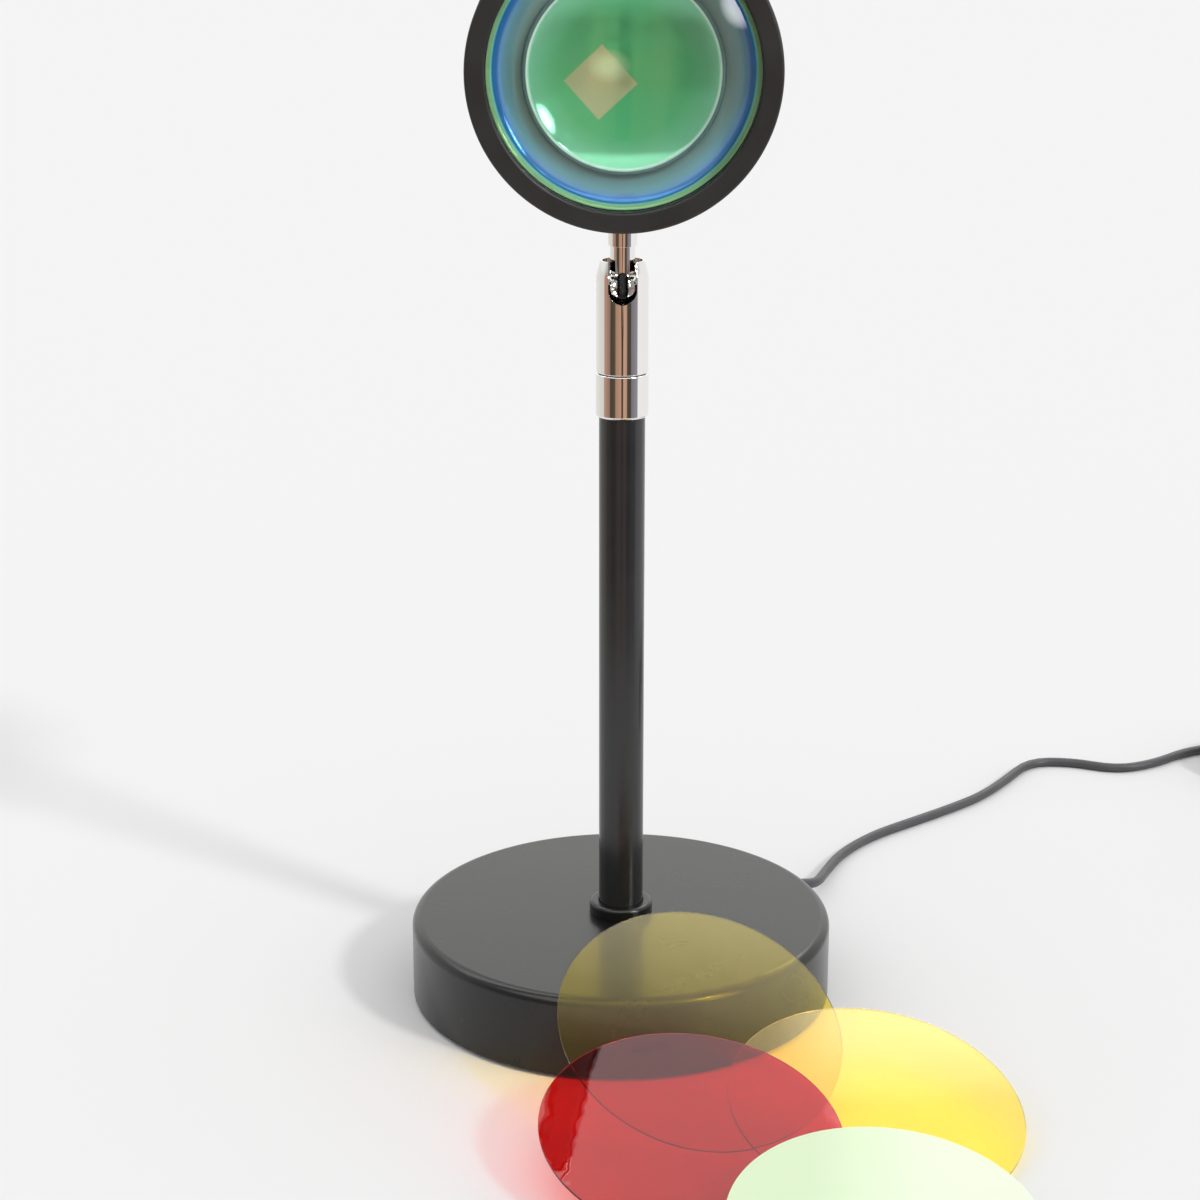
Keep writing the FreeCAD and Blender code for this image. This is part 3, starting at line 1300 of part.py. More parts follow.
# ---------------------------------------------------------------- loose filters
def floor_height(face):
    """Height of a tipped filter's centre when its lowest edge is just clear of the table."""
    tip = math.sqrt(1 - face.z**2)
    return FLOOR_GAP + FILTER_THICK / 2 * face.z + FILTER_R * tip


def leaning_place(face):
    """Centre of the filter whose edge stands on the table and whose back leans on the base's rounded rim."""
    tip = math.sqrt(1 - face.z**2)
    lean = FreeCAD.Vector(face.x / tip, face.y / tip, 0)
    rim_reach = (BASE_R - BASE_RIM_ROUND) * tip + (BASE_TOP - BASE_RIM_ROUND) * face.z + BASE_RIM_ROUND
    height = floor_height(face)
    out = (rim_reach + FILTER_GAP + FILTER_THICK / 2 - height * face.z) / tip
    return lean * out + Z.cross(lean) * LEAN_ASIDE + Z * height


def height_on_plane(centre, face, x, y):
    return centre.z - (face.x * (x - centre.x) + face.y * (y - centre.y)) / face.z


def rim_points(centre, face):
    circle = Part.Circle(centre, face, FILTER_R)
    return [circle.value(2 * math.pi * step / RIM_SAMPLES) for step in range(RIM_SAMPLES)]


def in_plan(centre, face, x, y):
    """True where a point of the plan lies on the filter as seen from above, its rim included."""
    point = FreeCAD.Vector(x, y, height_on_plane(centre, face, x, y))
    return (point - centre).Length < FILTER_R + 1e-6


def lying_place(centre, face, below):
    """Lets a filter down until it meets the table or one of the filters under it."""
    level = FreeCAD.Vector(centre.x, centre.y, 0)
    height = floor_height(face)
    for other_centre, other_face in below:
        apart = FILTER_THICK / 2 / face.z + (FILTER_THICK / 2 + FILTER_GAP) / other_face.z
        for point in rim_points(level, face) + rim_points(other_centre, other_face):
            on_both = in_plan(level, face, point.x, point.y) and in_plan(other_centre, other_face, point.x, point.y)
            if on_both:
                over = height_on_plane(other_centre, other_face, point.x, point.y) + apart
                height = max(height, over - height_on_plane(level, face, point.x, point.y))
    return level + Z * height


def filter_places():
    places = []
    for name, face, (aside, out) in FILTERS:
        normal = FreeCAD.Vector(*face).normalize()
        if not places:
            places.append((name, leaning_place(normal), normal))
            continue
        centre = places[0][1] + FreeCAD.Vector(aside, out, 0) * FILTER_R
        below = [(other, tipped) for _, other, tipped in places]
        places.append((name, lying_place(centre, normal, below), normal))
    return places


def filter_disc(centre, normal):
    return Part.makeCylinder(FILTER_R, FILTER_THICK, centre - normal * (FILTER_THICK / 2), normal)


def build():
    os.makedirs("parts", exist_ok=True)
    makers = [
        base_shell, base_weight, base_plate, plate_screws, foot_pad, cord_grommet,
        nipple, base_washer, base_nut, stem_collar, stem_tube, stem_insert, inner_lead,
        lower_ferrule, spindle, spring_washer, spindle_nut, swivel_sleeve, stop_pin, tilt_pins,
        knuckle, neck_ring, neck_nut, neck_wires,
        front_ring, lens, lens_gasket, coated_glass, spring_clip,
        head_body, light_cone, led_board, led_emitter, board_screws, driver_board, rear_cover, cover_screws,
        cord_coil, switch_base, switch_cover, switch_screws, switch_board, switch_button,
        plug_grip, plug_shell, plug_tongue,
    ]  # fmt: skip
    for maker in makers:
        save(maker.__name__, maker())
    boot_tip = EXIT_DIRECTION * BOOT_TIP_FROM_AXIS + Z * EXIT_HEIGHT
    start = [boot_tip, boot_tip + EXIT_DIRECTION * RUN_STRAIGHT]
    save("cord_run", tube("cord_run", start + RUN_ROUTE + [coil_end(False)], CORD_R))
    save("cord_lead", tube("cord_lead", [coil_end(True)] + LEAD_ROUTE, CORD_R))
    save("cord_tail", tube("cord_tail", TAIL_ROUTE, CORD_R))
    for name, centre, normal in filter_places():
        print("%s: centre %.2f %.2f %.2f" % (name, centre.x, centre.y, centre.z))
        save(name, filter_disc(centre, normal))


build()
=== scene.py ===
import math

import bpy
from mathutils import Matrix, Vector


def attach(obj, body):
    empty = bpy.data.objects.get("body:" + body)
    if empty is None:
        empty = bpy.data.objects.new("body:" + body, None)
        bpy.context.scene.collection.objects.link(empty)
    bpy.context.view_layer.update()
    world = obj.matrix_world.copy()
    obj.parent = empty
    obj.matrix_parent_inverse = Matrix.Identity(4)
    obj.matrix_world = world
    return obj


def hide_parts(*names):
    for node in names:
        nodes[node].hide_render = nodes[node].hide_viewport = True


# Desk lamp that throws a round coloured light. Lengths below are written in millimetres, as a
# maker would, and MM turns them into the scene's metres.
MM = 0.001
X_AXIS = Vector((1, 0, 0))
Y_AXIS = Vector((0, 1, 0))

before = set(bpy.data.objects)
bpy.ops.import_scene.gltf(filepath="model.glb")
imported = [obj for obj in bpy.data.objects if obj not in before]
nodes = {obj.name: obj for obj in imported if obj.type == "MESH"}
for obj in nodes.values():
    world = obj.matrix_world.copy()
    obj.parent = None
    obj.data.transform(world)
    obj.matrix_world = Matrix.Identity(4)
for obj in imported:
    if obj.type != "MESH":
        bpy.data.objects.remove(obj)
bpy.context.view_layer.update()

# ---------------------------------------------------------------- sizes shared by several pieces
BASE_R = 50.0
BASE_TOP = 20.0
STEM_R = 5.25
STEM_FOOT = 21.0
STEM_TOP = 141.5
FERRULE_R = 6.0
FERRULE_TOP = 151.5
SLEEVE_R = 5.9
SLEEVE_FOOT = 151.65
SLEEVE_TOP = 176.9
PIVOT = Vector((0, 0, 170.9))
NOTCH_R = 3.2
BALL_R = 4.2
NECK_R = 2.8
HEAD_AXIS_Z = 220.9
HEAD_R = 33.3
FACE_Y = -24.0
HEAD_DEPTH = 46.0
RING_LENGTH = 9.8
RING_OPENING_R = 28.8
DROOP = math.radians(3.0)
WIRE_WAY_R = 1.5
CORD_R = 1.3
CORD_WAY_R = 1.32

# Head pieces are drawn about the Z axis with z running back from the ring's front face.
LEAN = (
    Matrix.Translation(PIVOT * MM)
    @ Matrix.Rotation(DROOP, 4, "X")
    @ Matrix.Translation(PIVOT * -MM)
)
ON_HEAD = (
    LEAN
    @ Matrix.Translation((0, FACE_Y * MM, HEAD_AXIS_Z * MM))
    @ Matrix.Rotation(math.radians(-90), 4, "X")
)


# ---------------------------------------------------------------- workshop helpers
def start(obj):
    """Makes one object the only one selected and the active one."""
    bpy.ops.object.select_all(action="DESELECT")
    obj.select_set(True)
    bpy.context.view_layer.objects.active = obj


def modify(obj, kind, **settings):
    """Adds a modifier and applies it."""
    modifier = obj.modifiers.new(kind.title(), kind)
    for name, value in settings.items():
        setattr(modifier, name, value)
    start(obj)
    bpy.ops.object.modifier_apply(modifier=modifier.name)


def soften(obj, width, angle=35, segments=3):
    """Breaks the sharp edges with a small bevel."""
    modify(
        obj,
        "BEVEL",
        width=width * MM,
        segments=segments,
        limit_method="ANGLE",
        angle_limit=math.radians(angle),
    )


def smooth(obj, angle=32):
    """Smooth shading up to an angle. Large flat faces keep their own direction, so they mirror as flat."""
    start(obj)
    bpy.ops.object.shade_smooth_by_angle(angle=math.radians(angle))
    modify(obj, "WEIGHTED_NORMAL", mode="FACE_AREA", weight=50, keep_sharp=True)


def rounded(corners, steps=8, closed=False):
    """Outline points in order, with a third number on a corner giving its rounding radius."""
    outline = []
    for index, corner in enumerate(corners):
        here = Vector(corner[:2])
        if len(corner) == 2:
            outline.append(tuple(here))
            continue
        before = (Vector(corners[index - 1][:2]) - here).normalized()
        after = (Vector(corners[(index + 1) % len(corners)][:2]) - here).normalized()
        half = before.angle(after) / 2
        reach = corner[2] / math.tan(half)
        centre = here + (before + after).normalized() * (corner[2] / math.sin(half))
        first = here + before * reach - centre
        turn = first.angle_signed(here + after * reach - centre)
        for step in range(steps + 1):
            swing = Matrix.Rotation(-turn * step / steps, 2)
            outline.append(tuple(centre + swing @ first))
    if closed:
        outline.append(outline[0])
    return outline


def turned(name, outline, steps=128):
    """A piece turned about the Z axis: its outline drawn point by point as (radius, z), then spun. A single
    point can only be selected in vertex mode, and block leaves edge mode on."""
    bpy.ops.object.select_all(action="DESELECT")
    bpy.ops.mesh.primitive_plane_add(size=MM)
    obj = bpy.context.object
    obj.name = name
    bpy.ops.object.mode_set(mode="EDIT")
    bpy.ops.mesh.select_mode(type="VERT")
    bpy.ops.mesh.select_all(action="SELECT")
    bpy.ops.mesh.merge(type="CENTER")
    bpy.ops.transform.translate(value=(outline[0][0] * MM, 0, outline[0][1] * MM))
    here = Vector(outline[0])
    for point in outline[1:]:
        step = (Vector(point) - here) * MM
        bpy.ops.mesh.extrude_region_move(TRANSFORM_OT_translate={"value": (step.x, 0, step.y)})
        here = Vector(point)
    bpy.ops.mesh.select_all(action="SELECT")
    bpy.ops.mesh.spin(steps=steps, angle=math.tau, center=(0, 0, 0), axis=(0, 0, 1))
    bpy.ops.mesh.select_all(action="SELECT")
    bpy.ops.mesh.remove_doubles(threshold=1e-6)
    bpy.ops.mesh.normals_make_consistent(inside=False)
    bpy.ops.object.mode_set(mode="OBJECT")
    return obj


def block(name, low, high, rounding=0.0, only_upright=False):
    """A box between two corners, with all its edges or only the upright ones rounded."""
    centre = [(a + b) / 2 * MM for a, b in zip(low, high)]
    bpy.ops.object.select_all(action="DESELECT")
    bpy.ops.mesh.primitive_cube_add(size=1, location=centre)
    obj = bpy.context.object
    obj.name = name
    obj.scale = [(b - a) * MM for a, b in zip(low, high)]
    bpy.ops.object.transform_apply(location=True, rotation=True, scale=True)
    if rounding:
        bpy.ops.object.mode_set(mode="EDIT")
        bpy.ops.mesh.select_mode(type="EDGE")
        bpy.ops.mesh.select_all(action="DESELECT")
        bpy.ops.object.mode_set(mode="OBJECT")
        for edge in obj.data.edges:
            a, b = (obj.data.vertices[v].co for v in edge.vertices)
            upright = abs((a - b).normalized().z) > 0.9
            edge.select = upright or not only_upright
        bpy.ops.object.mode_set(mode="EDIT")
        bpy.ops.mesh.bevel(offset=rounding * MM, segments=8, profile=0.5)
        bpy.ops.object.mode_set(mode="OBJECT")
    return obj


def rod(name, radius, foot, top, sides=48):
    """A round bar between two points."""
    foot = Vector(foot)
    top = Vector(top)
    way = top - foot
    bpy.ops.object.select_all(action="DESELECT")
    bpy.ops.mesh.primitive_cylinder_add(vertices=sides, radius=radius * MM, depth=way.length * MM)
    obj = bpy.context.object
    obj.name = name
    place = Matrix.Translation((foot + top) / 2 * MM) @ way.to_track_quat("Z", "Y").to_matrix().to_4x4()
    obj.data.transform(place)
    return obj


def cut(obj, *tools):
    """Cuts the tools' shapes out of a piece and throws the tools away."""
    for tool in tools:
        modify(obj, "BOOLEAN", operation="DIFFERENCE", solver="EXACT", object=tool)
        bpy.data.objects.remove(tool)


def weld(obj, *others):
    """Fuses pieces that are one solid in the real thing."""
    for other in others:
        modify(obj, "BOOLEAN", operation="UNION", solver="EXACT", object=other)
        bpy.data.objects.remove(other)


def copies(obj, places):
    """The piece repeated at each place, joined into one object."""
    made = []
    for place in places:
        twin = obj.copy()
        twin.data = obj.data.copy()
        twin.data.transform(place)
        bpy.context.collection.objects.link(twin)
        made.append(twin)
    bpy.data.objects.remove(obj)
    start(made[0])
    for twin in made:
        twin.select_set(True)
    bpy.ops.object.join()
    return made[0]


def ring_places(radius, count, first):
    """Evenly spaced places on a circle about Z."""
    places = []
    for step in range(count):
        angle = math.radians(first + 360.0 * step / count)
        places.append(Matrix.Translation(Vector((math.cos(angle), math.sin(angle), 0)) * radius * MM))
    return places


def fit(obj, body, material, stands_for, place=None):
    """Puts a finished piece in its place, drops stray edges that a cut left, and gives it its body, its
    material and the nodes it stands for."""
    if place is not None:
        obj.data.transform(place)
    start(obj)
    bpy.ops.object.mode_set(mode="EDIT")
    bpy.ops.mesh.select_all(action="SELECT")
    bpy.ops.mesh.delete_loose()
    bpy.ops.object.mode_set(mode="OBJECT")
    smooth(obj)
    obj.data.materials.clear()
    obj.data.materials.append(material)
    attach(obj, body)
    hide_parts(*stands_for)
    return obj


# ---------------------------------------------------------------- materials
def linear(code):
    """sRGB hex to the linear colour that the shaders take."""
    levels = [int(code[i : i + 2], 16) / 255 for i in (1, 3, 5)]
    return [v / 12.92 if v <= 0.04045 else ((v + 0.055) / 1.055) ** 2.4 for v in levels] + [1.0]


def node(tree, kind, settings=None, inputs=None, stops=()):
    """Adds one shader node with its settings, its values and links, and a ramp's (position, hex colour) stops.
    A node given as an input is linked by its first output."""
    made = tree.nodes.new(kind)
    for name, value in (settings or {}).items():
        setattr(made, name, value)
    for name, value in (inputs or {}).items():
        if isinstance(value, bpy.types.Node):
            value = value.outputs[0]
        if isinstance(value, bpy.types.NodeSocket):
            tree.links.new(value, made.inputs[name])
        else:
            made.inputs[name].default_value = value
    for _ in stops[2:]:
        made.color_ramp.elements.new(0.5)
    for index, (position, code) in enumerate(stops):
        made.color_ramp.elements[index].position = position
        made.color_ramp.elements[index].color = linear(code)
    return made


def surface(name, colour, **values):
    """A material with one Principled shader, its plain values set on the shader itself."""
    material = bpy.data.materials.new(name)
    material.use_nodes = True
    shader = material.node_tree.nodes["Principled BSDF"]
    shader.inputs["Base Color"].default_value = linear(colour)
    for key, value in values.items():
        shader.inputs[key.replace("_", " ").title().replace("Ior", "IOR")].default_value = value
    return material, material.node_tree, shader


def grained(tree, shader, grain, depth, rough, tint=None):
    """Fine surface grain: a bump of the given grain size and depth in millimetres, and a roughness that
    wanders between two values in patches of about 12 mm."""
    place = node(tree, "ShaderNodeTexCoord").outputs["Object"]
    speck = node(
        tree,
        "ShaderNodeTexNoise",
        inputs={"Vector": place, "Scale": 1 / (grain * MM), "Detail": 3.0, "Roughness": 0.55},
    )
    bump = node(
        tree,
        "ShaderNodeBump",
        inputs={"Height": speck.outputs["Fac"], "Distance": depth * MM, "Strength": 0.6},
    )
    tree.links.new(bump.outputs["Normal"], shader.inputs["Normal"])
    wander = node(
        tree,
        "ShaderNodeTexNoise",
        inputs={"Vector": place, "Scale": 1 / (12 * MM), "Detail": 4.0},
    )
    dulled = node(
        tree,
        "ShaderNodeMapRange",
        inputs={
            "Value": wander.outputs["Fac"],
            "From Min": 0.3,
            "From Max": 0.7,
            "To Min": rough[0],
            "To Max": rough[1],
        },
    )
    tree.links.new(dulled.outputs["Result"], shader.inputs["Roughness"])
    if tint:
        colour = node(
            tree,
            "ShaderNodeValToRGB",
            inputs={"Fac": wander.outputs["Fac"]},
            stops=[(0.3, tint[0]), (0.7, tint[1])],
        )
        tree.links.new(colour.outputs["Color"], shader.inputs["Base Color"])


def clear_shadow(tree, shader, code):
    """Lets light through to what lies behind, as glass does, tinted by the colour."""
    shade = node(tree, "ShaderNodeBsdfTransparent", inputs={"Color": linear(code)})
    rays = node(tree, "ShaderNodeLightPath")
    mixed = node(
        tree, "ShaderNodeMixShader", inputs={"Fac": rays.outputs["Is Shadow Ray"], 1: shader, 2: shade}
    )
    tree.links.new(mixed.outputs[0], tree.nodes["Material Output"].inputs["Surface"])


def powder_coat_black():
    """Powder-coated steel: satin black with the faint orange peel of baked powder."""
    material, tree, shader = surface(
        "powder_coat_black", "#121213", ior=1.4, coat_weight=0.2, coat_roughness=0.14
    )
    grained(tree, shader, grain=0.8, depth=0.001, rough=(0.27, 0.29), tint=("#111112", "#131314"))
    return material


def stem_paint_black():
    """Sprayed and baked paint on drawn steel tube: smoother and a little glossier than the base."""
    material, tree, shader = surface("stem_paint_black", "#262627", ior=1.5)
    grained(tree, shader, grain=0.7, depth=0.006, rough=(0.16, 0.24), tint=("#242425", "#29292a"))
    return material


def anodised_black():
    """Bead-blasted, black anodised aluminium: dull and even, with a very fine grain."""
    material, tree, shader = surface("anodised_black", "#262625", ior=1.45)
    grained(tree, shader, grain=0.35, depth=0.006, rough=(0.42, 0.52), tint=("#232322", "#2a2a29"))
    return material


def chrome_plate():
    """Bright chrome over nickel on brass: mirror-like, a little duller in places from wiping."""
    material, tree, shader = surface("chrome_plate", "#eeecea", metallic=1.0)
    grained(tree, shader, grain=1.6, depth=0.002, rough=(0.03, 0.07))
    return material


def moulded_black(name="moulded_black", code="#1c1c1d"):
    """Injection-moulded ABS with a fine spark-eroded texture: dull black."""
    material, tree, shader = surface(name, code, ior=1.5)
    grained(tree, shader, grain=0.3, depth=0.012, rough=(0.45, 0.58))
    return material


def button_black():
    """Polished ABS cap: glossy black."""
    material, tree, shader = surface("button_black", "#202022", ior=1.5)
    grained(tree, shader, grain=1.2, depth=0.003, rough=(0.14, 0.2))
    return material


def cord_jacket():
    """Extruded PVC jacket: dark grey and slightly waxy, with a faint grain."""
    material, tree, shader = surface("cord_jacket", "#48484a", ior=1.48)
    grained(tree, shader, grain=0.5, depth=0.01, rough=(0.4, 0.52), tint=("#434345", "#4d4d50"))
    return material


def soft_rubber():
    """Moulded synthetic rubber: matt and nearly black."""
    material, tree, shader = surface("soft_rubber", "#242425", ior=1.5)
    grained(tree, shader, grain=0.4, depth=0.015, rough=(0.6, 0.72))
    return material


def plated_steel():
    """Zinc-plated steel of hidden fixings: soft grey metal."""
    material, tree, shader = surface("plated_steel", "#b4b5b7", metallic=1.0)
    grained(tree, shader, grain=0.8, depth=0.004, rough=(0.28, 0.4))
    return material


def nickel_shell():
    """Nickel-plated sheet of the plug: bright, with the dull patches of use."""
    material, tree, shader = surface("nickel_shell", "#c4c2bd", metallic=1.0)
    grained(tree, shader, grain=2.0, depth=0.003, rough=(0.14, 0.26))
    return material


def black_oxide():
    """Black oxide screws: oily dark metal."""
    material, tree, shader = surface("black_oxide", "#3a3a3c", metallic=1.0)
    grained(tree, shader, grain=0.6, depth=0.003, rough=(0.3, 0.42))
    return material


def turned_brass():
    """Plain turned brass of the hidden nuts."""
    material, tree, shader = surface("turned_brass", "#c9a85c", metallic=1.0)
    grained(tree, shader, grain=0.7, depth=0.004, rough=(0.25, 0.35))
    return material


def iron_casting():
    """Raw grey iron: coarse sand-cast skin."""
    material, tree, shader = surface("iron_casting", "#5b5a58", metallic=0.6)
    grained(tree, shader, grain=1.2, depth=0.08, rough=(0.6, 0.75))
    return material


def spun_aluminium():
    """Bright spun aluminium of the light cone."""
    material, tree, shader = surface("spun_aluminium", "#d9dadb", metallic=1.0)
    grained(tree, shader, grain=0.5, depth=0.004, rough=(0.16, 0.26))
    return material


def board_laminate():
    """Glass-fibre circuit board under green solder resist."""
    material, tree, shader = surface("board_laminate", "#1d5a34", ior=1.5)
    grained(tree, shader, grain=0.6, depth=0.004, rough=(0.3, 0.4))
    return material


def white_resist():
    """White solder resist on the light's aluminium board."""
    material, tree, shader = surface("white_resist", "#dcdcd6", ior=1.5)
    grained(tree, shader, grain=0.6, depth=0.004, rough=(0.35, 0.45))
    return material


def phosphor_gel():
    """Yellow phosphor gel over the light-emitting chips."""
    material, tree, shader = surface("phosphor_gel", "#e6cf5a", ior=1.45)
    grained(tree, shader, grain=0.3, depth=0.01, rough=(0.3, 0.4))
    return material


def white_nylon():
    """Moulded nylon tongue inside the plug."""
    material, tree, shader = surface("white_nylon", "#e4e3de", ior=1.5)
    grained(tree, shader, grain=0.5, depth=0.004, rough=(0.35, 0.45))
    return material


def on_head_axes(tree):
    """Place on a head piece read from the head's own axis: across, up and the distance from it, in metres."""
    place = node(tree, "ShaderNodeTexCoord").outputs["Object"]
    turned_in = node(
        tree,
        "ShaderNodeMapping",
        {"vector_type": "TEXTURE"},
        {"Vector": place, "Location": ON_HEAD.to_translation(), "Rotation": ON_HEAD.to_euler()},
    )
    parts = node(tree, "ShaderNodeSeparateXYZ", inputs={"Vector": turned_in.outputs["Vector"]})
    flat = node(tree, "ShaderNodeCombineXYZ", inputs={"X": parts.outputs["X"], "Y": parts.outputs["Y"]})
    radius = node(tree, "ShaderNodeVectorMath", {"operation": "LENGTH"}, {0: flat})
    up = node(tree, "ShaderNodeMath", {"operation": "MULTIPLY"}, {0: parts.outputs["Y"], 1: -1.0})
    return parts.outputs["X"], up, radius.outputs["Value"]


def dome_glass():
    """Pressed optical glass, polished: clear with a breath of green from its coating."""
    clear_green = "#f4fffa"
    material, tree, shader = surface(
        "dome_glass", clear_green, roughness=0.0, ior=1.45, transmission_weight=1.0
    )
    clear_shadow(tree, shader, clear_green)
    return material


COATING_R = 32.2
# The coating's colours from the head's axis, at 0, out to COATING_R, at 1. The near-white band at about 0.6,
# round the dish's edge, is a painted highlight.
COATING_RINGS_AND_HIGHLIGHT = [
    (0.0, "#66c586"),
    (0.40, "#66c48a"),
    (0.588, "#8ad2ae"),
    (0.602, "#effff8"),
    (0.608, "#effff8"),
    (0.614, "#587c80"),
    (0.67, "#86aab0"),
    (0.74, "#92c6dc"),
    (0.78, "#8cc0ff"),
    (0.798, "#4a8cf0"),
    (0.828, "#2f98de"),
    (0.84, "#b4fff6"),
    (0.855, "#c4f2b4"),
    (0.90, "#bcecae"),
]
# The square chip: where its middle shows, half its side, the width of its soft edge, its turn and how much it
# hides of the green.
CHIP_ACROSS = -4.5
CHIP_UP = -2.2
CHIP_HALF = 4.9
CHIP_EDGE = 0.3
CHIP_TURN = math.radians(42)
CHIP_SHARE = 0.85
# The painted highlight beside it, a pale glint: its middle, where it starts to fade and where it ends, and how
# much flatter it is.
HIGHLIGHT_ACROSS = -2.8
HIGHLIGHT_UP = 0.8
HIGHLIGHT_CORE_R = 1.2
HIGHLIGHT_R = 4.4
HIGHLIGHT_FLAT = 1.3
HIGHLIGHT_SHARE = 0.8


def interference_coating():
    """Vacuum-deposited interference coating on glass: green in the middle, then grey, teal and deep blue
    towards the rim, as its layers thin out, with a painted highlight as a near-white band round the dish's
    edge. The light's square chip shows through it as a tan patch, with a pale painted highlight beside it."""
    material, tree, shader = surface("interference_coating", "#4f9f72", metallic=0.3, roughness=0.07)
    across, up, radius = on_head_axes(tree)
    share = node(tree, "ShaderNodeMath", {"operation": "DIVIDE"}, {0: radius, 1: COATING_R * MM})
    rings_and_highlight = node(tree, "ShaderNodeValToRGB", inputs={"Fac": share}, stops=COATING_RINGS_AND_HIGHLIGHT)

    chip_across = node(tree, "ShaderNodeMath", {"operation": "ADD"}, {0: across, 1: -CHIP_ACROSS * MM})
    chip_up = node(tree, "ShaderNodeMath", {"operation": "ADD"}, {0: up, 1: -CHIP_UP * MM})
    sides = []
    for first, second in (
        (math.cos(CHIP_TURN), math.sin(CHIP_TURN)),
        (-math.sin(CHIP_TURN), math.cos(CHIP_TURN)),
    ):
        along_first = node(tree, "ShaderNodeMath", {"operation": "MULTIPLY"}, {0: chip_across, 1: first})
        along_second = node(tree, "ShaderNodeMath", {"operation": "MULTIPLY"}, {0: chip_up, 1: second})
        along = node(tree, "ShaderNodeMath", {"operation": "ADD"}, {0: along_first, 1: along_second})
        sides.append(node(tree, "ShaderNodeMath", {"operation": "ABSOLUTE"}, {0: along}))
    far = node(tree, "ShaderNodeMath", {"operation": "MAXIMUM"}, {0: sides[0], 1: sides[1]})
    inside = node(
        tree,
        "ShaderNodeMapRange",
        inputs={"Value": far, "From Min": (CHIP_HALF + CHIP_EDGE) * MM, "From Max": CHIP_HALF * MM},
    )
    chip = node(tree, "ShaderNodeMath", {"operation": "MULTIPLY"}, {0: inside, 1: CHIP_SHARE})
    with_chip = node(
        tree,
        "ShaderNodeMix",
        {"data_type": "RGBA"},
        {"Factor": chip, "A": rings_and_highlight, "B": linear("#dcc8a0")},
    )

    # A pale painted highlight, a soft flattened disc mixed into the colour beside the chip.
    highlight_across = node(tree, "ShaderNodeMath", {"operation": "ADD"}, {0: across, 1: -HIGHLIGHT_ACROSS * MM})
    highlight_up = node(tree, "ShaderNodeMath", {"operation": "SUBTRACT"}, {0: up, 1: HIGHLIGHT_UP * MM})
    highlight_flat = node(tree, "ShaderNodeMath", {"operation": "MULTIPLY"}, {0: highlight_up, 1: HIGHLIGHT_FLAT})
    highlight_place = node(tree, "ShaderNodeCombineXYZ", inputs={"X": highlight_across, "Y": highlight_flat})
    highlight_far = node(tree, "ShaderNodeVectorMath", {"operation": "LENGTH"}, {0: highlight_place})
    fading = node(
        tree,
        "ShaderNodeMapRange",
        inputs={"Value": highlight_far.outputs["Value"], "From Min": HIGHLIGHT_R * MM, "From Max": HIGHLIGHT_CORE_R * MM},
    )
    painted_highlight = node(tree, "ShaderNodeMath", {"operation": "MULTIPLY"}, {0: fading, 1: HIGHLIGHT_SHARE})
    with_highlight = node(
        tree,
        "ShaderNodeMix",
        {"data_type": "RGBA"},
        {"Factor": painted_highlight, "A": with_chip.outputs["Result"], "B": linear("#f4ffd0")},
    )
    tree.links.new(with_highlight.outputs["Result"], shader.inputs["Base Color"])
    return material


def colour_sheet(name, face_tint, shadow_tint, clearness, swell):
    """Cast acrylic sheet dyed right through, with polished faces that mirror the room. Light takes on the
    face tint at each face it passes, and the shadow takes on the other. Clearness 0 is opal and 1 is glass.
    The swell is how far the faces are from flat, in millimetres, which bends the picture in them."""
    material, tree, shader = surface(name, face_tint, roughness=0.0, ior=1.52, transmission_weight=clearness)
    if swell:
        place = node(tree, "ShaderNodeTexCoord").outputs["Object"]
        wave = node(
            tree, "ShaderNodeTexNoise", inputs={"Vector": place, "Scale": 1 / (9 * MM), "Detail": 1.5}
        )
        bump = node(
            tree,
            "ShaderNodeBump",
            inputs={"Height": wave.outputs["Fac"], "Distance": swell * MM, "Strength": 1.0},
        )
        tree.links.new(bump.outputs["Normal"], shader.inputs["Normal"])
    clear_shadow(tree, shader, shadow_tint)
    return material


# ---------------------------------------------------------------- cord
# Points of the cord's route, as in the part's source; the spline rounds them off.
EXIT_ANGLE = math.radians(46.0)
EXIT_WAY = Vector((math.cos(EXIT_ANGLE), math.sin(EXIT_ANGLE), 0))
EXIT_Z = 6.3
BOOT_TIP_R = 61.0
BOOT_TIP = EXIT_WAY * BOOT_TIP_R + Vector((0, 0, EXIT_Z))
RUN_ROUTE = [
    (51.6, 51.6, 4.4),
    (54.6, 62.5, 2.6),
    (60.5, 79.0, 1.35),
    (70.5, 92.0, 1.35),
    (82.0, 101.5, 1.35),
    (93.5, 111.0, 1.35),
    (105.0, 121.5, 1.35),
    (114.2, 134.5, 1.35),
    (123.5, 150.0, 1.35),
    (136.5, 150.0, 1.35),
    (149.0, 143.5, 1.35),
    (161.5, 149.0, 1.35),
    (172.0, 158.4, 1.35),
    (184.0, 162.95, 1.35),
]
CORD_LIE_Z = 1.35
COIL_CENTRE = Vector((199.0, 144.0, 0))
COIL_INNER_R = 11.2
COIL_PITCH = 3.1
COIL_LAYER_TURNS = [2.5, 2.5, 2.5, 2.25]
COIL_POINTS_PER_TURN = 24
LEAD_ROUTE = [(217.2, 131.5, 10.6), (216.6, 121.0, 7.9), (212.0, 110.0, 5.0), (212.0, 101.0, 5.0)]
TAIL_ROUTE = [
    (212.0, 58.5, 5.0),
    (212.0, 50.0, 5.0),
    (211.0, 39.5, 2.4),
    (203.5, 31.5, 1.35),
    (193.0, 31.5, 1.7),
    (186.0, 39.5, 4.2),
    (186.0, 49.5, 4.2),
]


